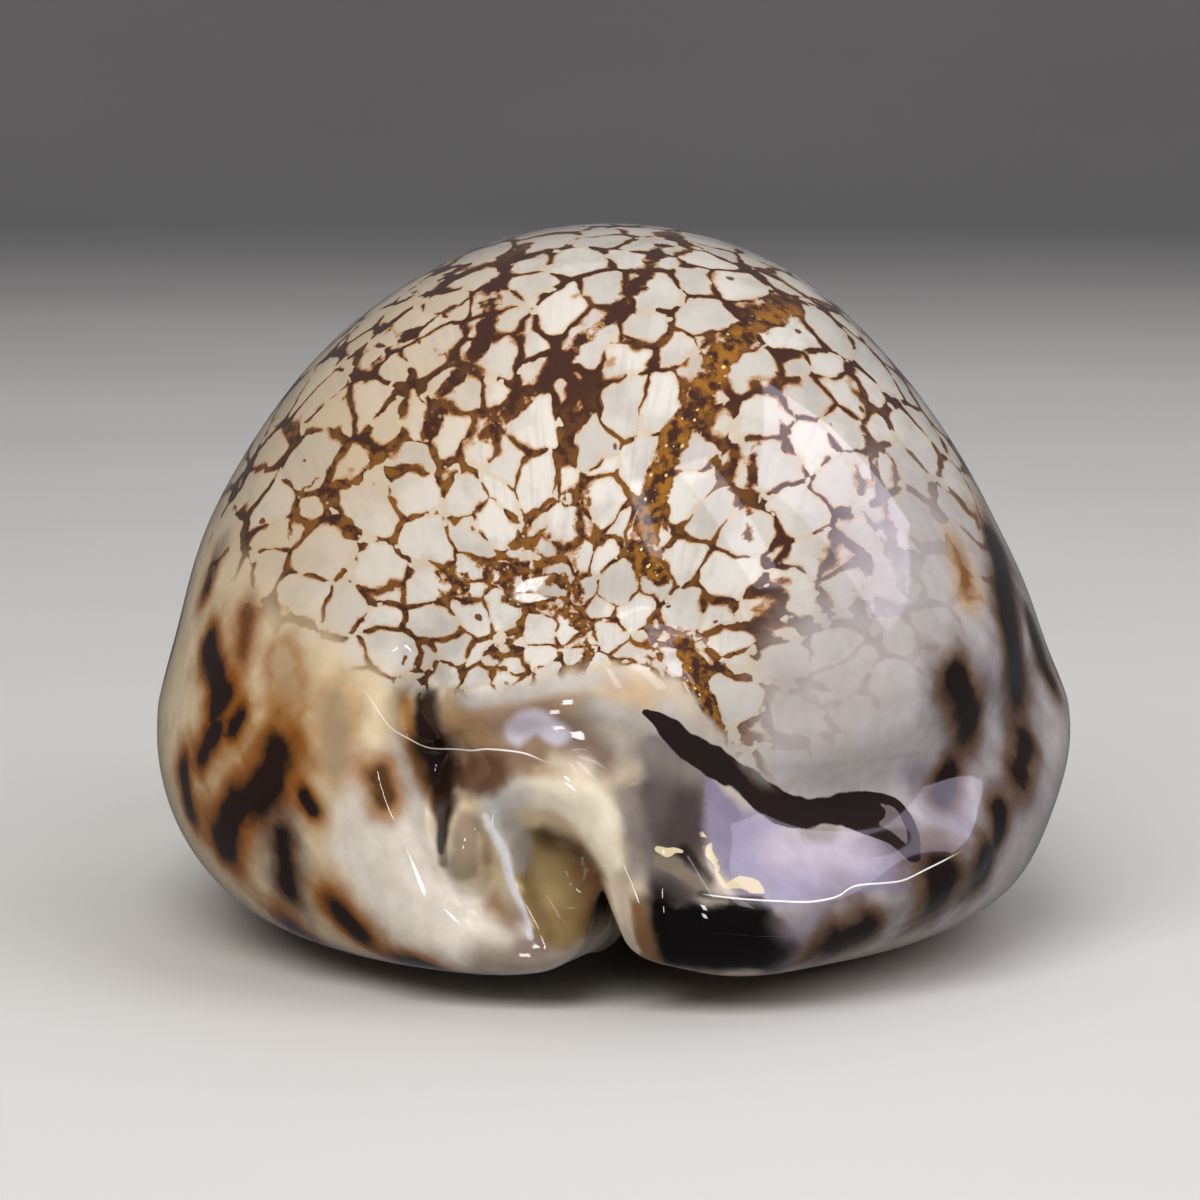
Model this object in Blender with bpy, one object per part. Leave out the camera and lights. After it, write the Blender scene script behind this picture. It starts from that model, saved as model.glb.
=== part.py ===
"""A cowrie shell, as one hollow solid that rests on its base.

+Y is the front (anterior) end and -Y the back (posterior) end, where the aperture climbs the
end face and curls over to the left. +X is the outer-lip side. The origin is under the middle
of the shell, on the plane it rests on. Sizes are written in millimetres times MM.
"""

import math
from collections import namedtuple

import bmesh
import bpy
import numpy as np
from mathutils import Vector

MM = 0.001

# Driving dimensions of the shell, its wall and its aperture.
BODY_LENGTH = 58.0 * MM
WIDTH = 40.0 * MM
HEIGHT = 31.5 * MM
WAIST_HEIGHT = 10.3 * MM
BACK_WALL = 1.3 * MM
MARGIN_WALL = 2.1 * MM
END_WALL = 4.3 * MM
FLOOR_WALL = 3.0 * MM
BASE_SHAVE = 0.25 * MM
TOOTH_PITCH = 2.1 * MM

# How full the outline is: 2 is an ellipse and more is squarer.
PLAN_FULLNESS = 2.4
PROFILE_FULLNESS = 2.2
BASE_FULLNESS = 3.6
BACK_IS_WIDER = 0.12
BACK_IS_HIGHER = 0.04
FLANK_FLATNESS = 0.07

# How gently a stroke fades out at its ends: 0 is not at all.
END_FADE = 0.35

# Mesh fineness.
OUTER_SUBDIVISIONS = 7
CAVITY_SUBDIVISIONS = 5
STRIP_SIDES = 16
VOXEL = 0.36 * MM
SMOOTHING_STEPS = 12
KEPT_TRIANGLES = 0.035

# A ridge (height above 0) or a groove (below 0) laid along a line on the surface, fading out
# at its two ends. push is the way it moves the surface, or None for straight out.
Stroke = namedtuple("Stroke", "height width points push")

BACKWARD = (0, -1, 0)
FORWARD = (0, 1, 0)
UPWARD = (0, 0, 1)

# The back end: the mound of callus over the spire, the groove above it, the hollow of the
# canal and the pit of the spire.
BACK_END = (
    Stroke(1.7, 4.2, ((-5.0, -28.6, 11.2), (-0.5, -28.8, 11.6), (4.5, -28.6, 8.6)), BACKWARD),
    Stroke(-0.7, 1.3, ((-8, -27, 14.4), (-4.8, -27.6, 16.0), (-1.5, -28, 16.9), (2.4, -28, 16.8),
                       (5.4, -27.8, 14.8), (7.4, -27.5, 11.8)), BACKWARD),
    Stroke(-2.2, 1.7, ((-3.4, -29.4, 7.4), (-2.2, -29.6, 7.6), (-1.0, -29.6, 6.2), (-0.6, -29.4, 4.6)),
           BACKWARD),
    Stroke(-3.0, 1.35, ((-8.3, -27.8, 14.2), (-7.7, -28.4, 12.2), (-7.1, -28.8, 10.2), (-6.8, -28.8, 8.2),
                        (-6.4, -28.8, 6.0)), BACKWARD),
    Stroke(1.0, 2.6, ((-11.0, -27.0, 12), (-10.0, -27.5, 9.0), (-9.2, -27.8, 6.0), (-8.4, -28.0, 3.2)),
           BACKWARD),
    Stroke(1.2, 2.4, ((-8.0, -28, 2.0), (-4.5, -28.8, 1.9), (-1.6, -28.8, 2.2)), BACKWARD),
    Stroke(1.9, 3.0, ((1.4, -28.6, 5.0), (3.0, -28.2, 3.0), (6.0, -28.2, 2.4), (9.0, -27.6, 2.4)), BACKWARD),
)

# The outer-lip side of the back end: a shelf with a crease along its edge and a valley above.
BACK_SHELF = (
    Stroke(1.3, 1.9, ((3.0, -28.6, 5.6), (5.2, -28.6, 4.7), (8.2, -28, 4.3), (11.5, -26.8, 4.7),
                      (14.7, -24.3, 5.8), (17.4, -20, 7.0), (18.6, -15, 7.6)), None),
    Stroke(-1.5, 2.2, ((4.6, -28.6, 12.2), (5.8, -28.6, 10.0), (7.8, -28.4, 8.6), (10.6, -27.4, 8.3),
                       (13.4, -25.6, 9.0), (16.4, -21, 10.2), (18.2, -14, 11.2)), None),
)

# The thickened margins along both sides.
MARGINS = (
    Stroke(0.5, 3.0, ((-9, -27, 4), (-14, -23.5, 5), (-18.8, -12, 6), (-19.4, 0, 6.4), (-17, 14, 6),
                      (-10.5, 24.5, 5), (-5, 28, 5)), None),
    Stroke(0.8, 3.0, ((9, -27, 5), (16.5, -20, 6), (19, -11, 6.6), (19.4, 0, 6.8), (17, 14, 6),
                      (10.5, 24.5, 5), (5, 28, 5)), None),
    Stroke(-0.3, 2.6, ((16, -18, 12), (18.2, -10, 12.4), (18.6, 0, 12.8), (16, 14, 12),
                       (11, 22, 12)), None),
)

# The base: both lips roll in towards the aperture.
BASE = (
    Stroke(1.5, 2.4, ((0.5, -29, 0), (0.8, -24, 0), (1.6, -18, 0), (2.0, -8, 0), (2.0, 3, 0), (1.6, 13, 0),
                      (0.9, 21, 0), (0.2, 29, 0)), UPWARD),
)

# The front end: a collar across the back of the shell and the flared rim of the front canal.
FRONT_END = (
    Stroke(-0.9, 1.8, ((-9.5, 23.6, 9.4), (-5, 26.2, 10.6), (0, 26.8, 11.4), (5, 26.2, 10.6),
                       (9.5, 23.6, 9.4)), None),
    Stroke(1.1, 1.7, ((-7.4, 26.8, 3.0), (-5.4, 28.0, 6.4), (0, 28.9, 8.0), (5.4, 28.0, 6.4),
                      (7.4, 26.8, 3.0)), FORWARD),
)

# Strips of callus with a round section, thickest where the radius is largest.
Bead = namedtuple("Bead", "x y z radius")
CANAL_ARCH = (
    Bead(4.4, -25.6, 2.6, 2.2),
    Bead(3.5, -27.6, 3.3, 2.2),
    Bead(2.6, -29.1, 5.0, 1.9),
    Bead(1.3, -29.9, 7.4, 1.6),
    Bead(0.1, -30.2, 9.1, 1.4),
    Bead(-1.5, -30.3, 10.1, 1.35),
    Bead(-3.3, -29.9, 10.1, 1.2),
    Bead(-4.7, -29.2, 9.6, 1.0),
)
CANAL_FOLD = (
    Bead(-4.4, -29.0, 9.6, 1.0),
    Bead(-4.7, -29.6, 8.2, 0.7),
    Bead(-4.2, -29.8, 6.6, 0.5),
    Bead(-3.5, -29.8, 4.9, 0.5),
    Bead(-2.7, -29.5, 3.6, 0.6),
    Bead(-1.9, -28.8, 2.6, 0.7),
)
SPIRE_KNOB = (
    Bead(-6.0, -27.4, 8.9, 0.9),
    Bead(-6.0, -27.9, 7.9, 1.15),
    Bead(-5.9, -27.9, 6.8, 1.25),
    Bead(-5.7, -27.6, 5.8, 1.0),
)
CALLUS_STRIPS = (CANAL_ARCH, CANAL_FOLD, SPIRE_KNOB)

# The aperture: where the slit runs outside the surface and how wide it is, back end first.
Slit = namedtuple("Slit", "x y z width")
APERTURE = (
    Slit(0.0, -33.0, 6.6, 0.9),
    Slit(0.3, -33.0, 4.6, 1.2),
    Slit(0.4, -33.0, 2.6, 1.6),
    Slit(0.3, -32.2, 0.2, 2.2),
    Slit(0.5, -29.4, -1.8, 2.2),
    Slit(0.8, -25.5, -2.0, 2.0),
    Slit(1.6, -18.0, -2.0, 2.1),
    Slit(2.0, -8.0, -2.0, 2.4),
    Slit(2.0, 3.0, -2.0, 2.7),
    Slit(1.6, 13.0, -2.0, 3.1),
    Slit(0.9, 21.0, -2.0, 3.5),
    Slit(0.4, 26.0, -2.0, 3.4),
    Slit(0.0, 31.5, -1.6, 3.2),
    Slit(0.0, 33.0, 1.6, 3.2),
    Slit(0.0, 33.0, 4.4, 3.0),
)
# The slit cuts towards this line inside the shell, and stops short of it.
THROAT_BACK = Vector((0.8, -20.0, 10.0)) * MM
THROAT_FRONT = Vector((0.8, 19.0, 10.0)) * MM
THROAT_SHARE = 0.8
TOOTHED_FROM = -21.5 * MM
TOOTHED_TO = 22.5 * MM
# In millimetres: how far the middle of a tooth is from the slit and from the base, and its radii.
TOOTH_SETBACK = 1.55
TOOTH_HEIGHT = 1.5
TOOTH_RADII = (2.0, 0.65, 1.3)

# The rolled-up inner whorls, as one spindle joined to the wall left of the aperture.
WHORL_CENTRE = Vector((-5.0, -2.0, 8.6)) * MM
WHORL_RADII = Vector((4.4, 18.0, 5.8)) * MM


def clear_scene():
    """Removes whatever the scene holds at the start."""
    for obj in list(bpy.data.objects):
        bpy.data.objects.remove(obj)


def add_object(name, bm):
    """Links a new mesh object made from bm, and frees bm."""
    bmesh.ops.recalc_face_normals(bm, faces=bm.faces)
    mesh = bpy.data.meshes.new(name)
    bm.to_mesh(mesh)
    bm.free()
    obj = bpy.data.objects.new(name, mesh)
    bpy.context.scene.collection.objects.link(obj)
    return obj


def add_helper(name, bm):
    """The same for a cutter or another helper, which is never part of the model."""
    obj = add_object(name, bm)
    obj.hide_render = True
    obj.display_type = "WIRE"
    return obj


def vertex_array(bm):
    """The vertices of bm as an array of points."""
    return np.array([v.co for v in bm.verts], float)


def place_vertices(bm, points):
    """Moves the vertices of bm to these points."""
    for vertex, point in zip(bm.verts, points, strict=True):
        vertex.co = point


def sphere_mesh(subdivisions):
    """A unit sphere of even triangles."""
    bm = bmesh.new()
    bmesh.ops.create_icosphere(bm, subdivisions=subdivisions, radius=1)
    return bm


def taper(along, fullness):
    """How wide a section is at this place along the shell, from 1 in the middle to 0 at an end."""
    return (1 - np.abs(along) ** fullness) ** (1 / fullness)


def body_points(directions):
    """The plain egg-shaped body: each direction of the unit sphere becomes a surface point."""
    along = np.clip(directions[:, 1], -1, 1)
    section = np.sqrt(np.maximum(1 - along**2, 1e-12))
    side = np.clip(directions[:, 0] / section, -1, 1)
    rise = directions[:, 2] / section
    plan = taper(along, PLAN_FULLNESS)
    half_width = WIDTH / 2 * plan * (1 - BACK_IS_WIDER * along)
    dome = (HEIGHT - WAIST_HEIGHT) * taper(along, PROFILE_FULLNESS) * (1 - BACK_IS_HIGHER * along)
    flank = 1 - FLANK_FLATNESS * 2 * np.abs(side) * np.maximum(rise, 0)
    base = WAIST_HEIGHT * (0.75 + 0.25 * plan)
    under = -base * (1 - np.abs(side) ** BASE_FULLNESS) ** (1 / BASE_FULLNESS)
    x = half_width * side * flank
    y = BODY_LENGTH / 2 * along
    z = WAIST_HEIGHT + np.where(rise >= 0, dome * rise, under)
    return np.stack([x, y, z], axis=1)


def normals_of(bm, points):
    """The outward normal at each vertex, once the vertices are at these points."""
    place_vertices(bm, points)
    bm.normal_update()
    normals = np.array([v.normal for v in bm.verts], float)
    outward = np.einsum("ij,ij->i", normals, points - points.mean(axis=0))
    return normals if outward.sum() > 0 else -normals


def near_line(points, corners):
    """How far each point is from a line through these corners, and its place along it from 0 to 1."""
    lengths = np.linalg.norm(np.diff(corners, axis=0), axis=1)
    nearest = np.full(len(points), np.inf)
    place = np.zeros(len(points))
    gone = 0.0
    for start, end, length in zip(corners[:-1], corners[1:], lengths, strict=True):
        share = np.clip((points - start) @ (end - start) / length**2, 0, 1)
        distance = np.linalg.norm(points - start - share[:, None] * (end - start), axis=1)
        place = np.where(distance < nearest, (gone + share * length) / lengths.sum(), place)
        nearest = np.minimum(nearest, distance)
        gone += length
    return nearest, place


def sculpt(points, normals, strokes):
    """Raises a ridge or sinks a groove along each stroke, with a soft bell-shaped section."""
    moved = points.copy()
    for stroke in strokes:
        distance, place = near_line(points, np.array(stroke.points, float) * MM)
        fade = np.sin(np.pi * np.clip(place, 0.02, 0.98)) ** END_FADE
        weight = fade * np.exp(-((distance / (stroke.width * MM)) ** 2))
        push = normals if stroke.push is None else np.array(stroke.push, float)
        moved += stroke.height * MM * weight[:, None] * push
    return moved


def outer_form():
    """The outside of the shell, with its ends, shelf and margins, and no opening yet."""
    bm = sphere_mesh(OUTER_SUBDIVISIONS)
    points = body_points(vertex_array(bm))
    normals = normals_of(bm, points)
    points = sculpt(points, normals, BACK_END + BACK_SHELF + MARGINS + BASE + FRONT_END)
    place_vertices(bm, points)
    return add_object("shell", bm)


def cavity_form():
    """The hollow inside: the body, moved in by the wall, which is thickest at the ends and base."""
    bm = sphere_mesh(CAVITY_SUBDIVISIONS)
    directions = vertex_array(bm)
    points = body_points(directions)
    normals = normals_of(bm, points)
    low, high = points.min(axis=0), points.max(axis=0)
    middle = np.array([0, 0, WAIST_HEIGHT])
    inset_top = np.array([MARGIN_WALL, END_WALL, BACK_WALL])
    inset_under = np.array([MARGIN_WALL, END_WALL, FLOOR_WALL])
    reach = np.where(points[:, 2:] > WAIST_HEIGHT, high - middle, middle - low)
    inset = np.where(points[:, 2:] > WAIST_HEIGHT, inset_top, inset_under)
    points = middle + (points - middle) * (1 - inset / reach)
    place_vertices(bm, points)
    return add_helper("cavity_cutter", bm)


def inner_whorl():
    """The spindle of the inner whorls, which is kept when the cavity is cut."""
    bm = sphere_mesh(4)
    for vertex in bm.verts:
        vertex.co = WHORL_CENTRE + Vector(vertex.co[k] * WHORL_RADII[k] for k in range(3))
    return add_helper("inner_whorl", bm)


def smooth_path(stations, steps_between):
    """Rows of numbers as a smooth curve through them, with more rows between each two."""
    rows = np.array(stations, float)
    padded = np.vstack([2 * rows[0] - rows[1], rows, 2 * rows[-1] - rows[-2]])
    path = []
    for a, b, c, d in zip(padded[:-3], padded[1:-2], padded[2:-1], padded[3:], strict=True):
        for step in range(steps_between):
            u = step / steps_between
            bend = 2 * a - 5 * b + 4 * c - d + u * (3 * (b - c) + d - a)
            path.append(b + 0.5 * u * (c - a + u * bend))
    path.append(rows[-1])
    return path


def aperture_path(steps_between=4):
    """The aperture's stations, with more between them."""
    return [Slit(*row) for row in smooth_path(APERTURE, steps_between)]


def callus_strips():
    """The strips of callus, each a chain of rings closed by a cap at both ends."""
    bm = bmesh.new()
    for strip in CALLUS_STRIPS:
        path = [Bead(*row) for row in smooth_path(strip, 5)]
        centres = [Vector(bead[:3]) * MM for bead in path]
        rings = []
        for index, bead in enumerate(path):
            run = centres[min(index + 1, len(path) - 1)] - centres[max(index - 1, 0)]
            turn = run.to_track_quat("Z", "Y").to_matrix().to_4x4()
            turn.translation = centres[index]
            ring = bmesh.ops.create_circle(bm, segments=STRIP_SIDES, radius=bead.radius * MM, matrix=turn)
            rings.append(ring["verts"])
        for near, far in zip(rings[:-1], rings[1:], strict=True):
            bridge(bm, near, far)
        for ring in (rings[0], rings[-1]):
            bm.faces.new(ring)
    return add_helper("callus_strips", bm)


def bridge(bm, near, far):
    """Closes the wall between two rings, starting where their points are nearest."""
    offset = min(range(len(far)), key=lambda k: (far[k].co - near[0].co).length)
    count = len(near)
    for k in range(count):
        a, b = far[(k + offset) % count], far[(k + 1 + offset) % count]
        bm.faces.new((near[k], near[(k + 1) % count], b, a))


def slit_frame(path, index):
    """At one station: the middle of the slit, how far in it cuts and the way across it."""
    middle = Vector(path[index][:3]) * MM
    share = (middle.y - THROAT_BACK.y) / (THROAT_FRONT.y - THROAT_BACK.y)
    inward = (THROAT_BACK.lerp(THROAT_FRONT, min(max(share, 0), 1)) - middle) * THROAT_SHARE
    ahead, behind = path[min(index + 1, len(path) - 1)], path[max(index - 1, 0)]
    across = (Vector(ahead[:3]) - Vector(behind[:3])).cross(inward).normalized()
    return middle, inward, across


def aperture_slot():
    """The cutter of the aperture: a thin curved slab that follows the slit round both ends."""
    path = aperture_path()
    bm = bmesh.new()
    rings = []
    for index, slit in enumerate(path):
        middle, inward, across = slit_frame(path, index)
        aside = across * slit.width * MM / 2
        corners = (middle - aside, middle + aside, middle + inward + aside, middle + inward - aside)
        rings.append([bm.verts.new(corner) for corner in corners])
    for near, far in zip(rings[:-1], rings[1:], strict=True):
        for k in range(4):
            bm.faces.new((near[k], near[(k + 1) % 4], far[(k + 1) % 4], far[k]))
    bm.faces.new(rings[0])
    bm.faces.new(rings[-1])
    return add_helper("aperture_cutter", bm)


def teeth():
    """The rounded teeth along both lips, each a small ellipsoid laid across the lip's edge."""
    bm = bmesh.new()
    path = [slit for slit in aperture_path(12) if TOOTHED_FROM <= slit.y * MM <= TOOTHED_TO]
    count = round((TOOTHED_TO - TOOTHED_FROM) / TOOTH_PITCH)
    for side in (-1, 1):
        for index in range(count + 1):
            slit = path[round(index * (len(path) - 1) / count)]
            tooth = bmesh.ops.create_icosphere(bm, subdivisions=2, radius=1)["verts"]
            middle = Vector((slit.x + side * (slit.width / 2 + TOOTH_SETBACK), slit.y, TOOTH_HEIGHT)) * MM
            for vertex in tooth:
                vertex.co = middle + Vector(vertex.co[k] * TOOTH_RADII[k] for k in range(3)) * MM
    return add_helper("teeth", bm)


def table_cutter():
    """A block whose top is the plane the shell rests on, which leaves a flat on each lip."""
    bm = bmesh.new()
    bmesh.ops.create_cube(bm, size=1)
    for vertex in bm.verts:
        x, y, z = vertex.co
        vertex.co = Vector((x * 2 * BODY_LENGTH, y * 2 * BODY_LENGTH, (z - 0.5) * HEIGHT + BASE_SHAVE))
    return add_helper("table_cutter", bm)


def combine(obj, other, operation):
    """Adds a Boolean modifier that cuts other from obj, or joins it on."""
    modifier = obj.modifiers.new(f"{operation}_{other.name}", "BOOLEAN")
    modifier.operation = operation
    modifier.object = other
    modifier.use_self = operation == "UNION"


def soften(obj):
    """Rounds every cut edge: an even remesh, a light smoothing and fewer triangles."""
    remesh = obj.modifiers.new("even_mesh", "REMESH")
    remesh.mode = "VOXEL"
    remesh.voxel_size = VOXEL
    smooth = obj.modifiers.new("round_edges", "SMOOTH")
    smooth.factor = 0.5
    smooth.iterations = SMOOTHING_STEPS
    decimate = obj.modifiers.new("fewer_triangles", "DECIMATE")
    decimate.ratio = KEPT_TRIANGLES


def glazed_shell():
    """The finish: a pale, glossy glaze."""
    material = bpy.data.materials.new("glazed_shell")
    material.use_nodes = True
    shader = material.node_tree.nodes["Principled BSDF"]
    shader.inputs["Base Color"].default_value = (0.72, 0.64, 0.53, 1)
    shader.inputs["Roughness"].default_value = 0.12
    shader.inputs["Metallic"].default_value = 0.0
    return material


def centre_on_origin(obj):
    """Moves the shell and its helpers so that its base is on z = 0 and it is centred over the origin."""
    bpy.context.view_layer.update()
    evaluated = obj.evaluated_get(bpy.context.evaluated_depsgraph_get())
    corners = np.array([evaluated.matrix_world @ Vector(corner) for corner in evaluated.bound_box])
    low, high = corners.min(axis=0), corners.max(axis=0)
    shift = Vector((-(low[0] + high[0]) / 2, -(low[1] + high[1]) / 2, -low[2]))
    for member in bpy.data.objects:
        member.location += shift


def main():
    clear_scene()
    shell = outer_form()
    cavity = cavity_form()
    combine(cavity, inner_whorl(), "DIFFERENCE")
    combine(shell, cavity, "DIFFERENCE")
    combine(shell, aperture_slot(), "DIFFERENCE")
    combine(shell, callus_strips(), "UNION")
    combine(shell, teeth(), "UNION")
    soften(shell)
    combine(shell, table_cutter(), "DIFFERENCE")
    shell.data.materials.append(glazed_shell())
    centre_on_origin(shell)


main()
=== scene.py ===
"""Looks for a cowrie shell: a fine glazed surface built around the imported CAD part.

+Y is the front (anterior) end, -Y the back (posterior) end and +X the outer-lip side. Tables of
numbers are in millimetres; meshes are in metres. "Body" coordinates are the shell's own, before
it is set down where the CAD part stands.
"""

import logging
import math
from collections.abc import Callable
from dataclasses import dataclass, field, replace
from enum import Enum

import bpy
import numpy as np
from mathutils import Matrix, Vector


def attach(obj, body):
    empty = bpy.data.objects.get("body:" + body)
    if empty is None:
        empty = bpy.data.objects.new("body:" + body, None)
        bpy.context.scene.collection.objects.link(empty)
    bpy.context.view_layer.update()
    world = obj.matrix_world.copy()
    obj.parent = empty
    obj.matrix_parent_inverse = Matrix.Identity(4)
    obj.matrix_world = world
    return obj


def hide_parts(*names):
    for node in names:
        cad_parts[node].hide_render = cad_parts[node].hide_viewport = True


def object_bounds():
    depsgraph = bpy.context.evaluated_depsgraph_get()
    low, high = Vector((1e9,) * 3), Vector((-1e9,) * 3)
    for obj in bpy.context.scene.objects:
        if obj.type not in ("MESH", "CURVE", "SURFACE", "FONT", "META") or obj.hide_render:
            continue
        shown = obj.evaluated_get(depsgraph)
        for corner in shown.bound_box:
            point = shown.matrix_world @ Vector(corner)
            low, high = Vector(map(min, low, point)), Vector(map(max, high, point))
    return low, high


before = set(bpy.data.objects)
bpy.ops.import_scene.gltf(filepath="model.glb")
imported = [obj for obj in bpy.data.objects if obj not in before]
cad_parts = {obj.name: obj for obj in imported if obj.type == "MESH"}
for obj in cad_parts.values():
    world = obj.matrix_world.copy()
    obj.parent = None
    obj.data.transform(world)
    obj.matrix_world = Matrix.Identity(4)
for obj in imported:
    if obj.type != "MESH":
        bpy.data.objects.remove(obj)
CAD_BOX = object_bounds()

log = logging.getLogger("cowrie")

MM = 0.001
Array = np.ndarray
Rows = tuple[tuple[float, ...], ...]


class Push(Enum):
    """Which way a stroke moves the surface."""

    OUTWARD = None
    BACKWARD = (0.0, -1.0, 0.0)
    FORWARD = (0.0, 1.0, 0.0)
    UPWARD = (0.0, 0.0, 1.0)


@dataclass(frozen=True)
class Stroke:
    """A soft ridge (height above 0) or groove (below 0) along a line through points."""

    height: float
    width: float
    points: Rows
    push: Push = Push.OUTWARD


@dataclass(frozen=True)
class Strip:
    """A round-topped strip on the back end: rows of x, z, half-width and height.

    A height below 0 sinks a round-bottomed trough. fillet is how softly it meets what is there.
    """

    rows: Rows
    fillet: float = 0.4


# ---------------------------------------------------------------- line and curve helpers


def smooth_rows(rows: Rows, between: int) -> Array:
    """Rows of numbers as a smooth curve through them.

    Args:
        rows: the numbers at each station.
        between: how many steps there are from one station to the next.

    Returns:
        The rows of the curve, the given stations among them.
    """
    given = np.array(rows, float)
    padded = np.vstack([2 * given[0] - given[1], given, 2 * given[-1] - given[-2]])
    path = []
    for a, b, c, d in zip(padded[:-3], padded[1:-2], padded[2:-1], padded[3:], strict=True):
        for step in range(between):
            u = step / between
            bend = 2 * a - 5 * b + 4 * c - d + u * (3 * (b - c) + d - a)
            path.append(b + 0.5 * u * (c - a + u * bend))
    path.append(given[-1])
    return np.array(path)


def even_path(path: Array, step: float) -> Array:
    """Places about a step apart along a path, from its start to its end."""
    lengths = np.linalg.norm(np.diff(path, axis=0), axis=1)
    gone = np.concatenate([[0], np.cumsum(lengths)])
    places = np.linspace(0, gone[-1], max(2, round(gone[-1] / step) + 1))
    return np.stack([np.interp(places, gone, column) for column in path.T], axis=1)


def near_path(points: Array, path: Array) -> tuple[Array, Array]:
    """How near each point is to a path, and what the path says there.

    Args:
        points: one row for each point, with as many columns as the path has coordinates.
        path: one row for each corner: its coordinates, then any further numbers.

    Returns:
        The distance of each point from the path, and for each point the whole row of the path
        at its nearest place, with the share of the path's length up to there as a last column.
    """
    size = points.shape[1]
    lengths = np.linalg.norm(np.diff(path[:, :size], axis=0), axis=1)
    total = lengths.sum()
    nearest = np.full(len(points), np.inf)
    rows = np.zeros((len(points), path.shape[1] + 1))
    gone = 0.0
    for start, end, length in zip(path[:-1], path[1:], lengths, strict=True):
        run = end[:size] - start[:size]
        share = np.clip((points - start[:size]) @ run / max(length, 1e-9) ** 2, 0, 1)
        away = np.linalg.norm(points - start[:size] - share[:, None] * run, axis=1)
        closer = away < nearest
        row = start + share[closer, None] * (end - start)
        rows[closer, :-1] = row
        rows[closer, -1] = (gone + share[closer] * length) / total
        nearest[closer] = away[closer]
        gone += length
    return nearest, rows


def soft_max(a: Array, b: Array, reach: float) -> Array:
    """The larger of two fields, rounded where they cross over a reach."""
    blend = np.maximum(reach - np.abs(a - b), 0) / reach
    return np.maximum(a, b) + blend**2 * reach / 4


def soft_step(low: float, high: float, value: Array) -> Array:
    """0 below low, 1 above high and an even S between. Works with low above high too."""
    share = np.clip((value - low) / (high - low), 0, 1)
    return share * share * (3 - 2 * share)


CAP_END = 0.85
CAP_END_HEIGHT = 0.5268
CAP_END_SLOPE = 1.6135


def round_cap(share: Array) -> Array:
    """A round section: 1 at the middle, and straight on down past its end so that it can be blended."""
    top = np.sqrt(np.maximum(1 - share**2, 0))
    return np.where(share < CAP_END, top, CAP_END_HEIGHT - CAP_END_SLOPE * (share - CAP_END))


# ---------------------------------------------------------------- the shell's form


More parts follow.
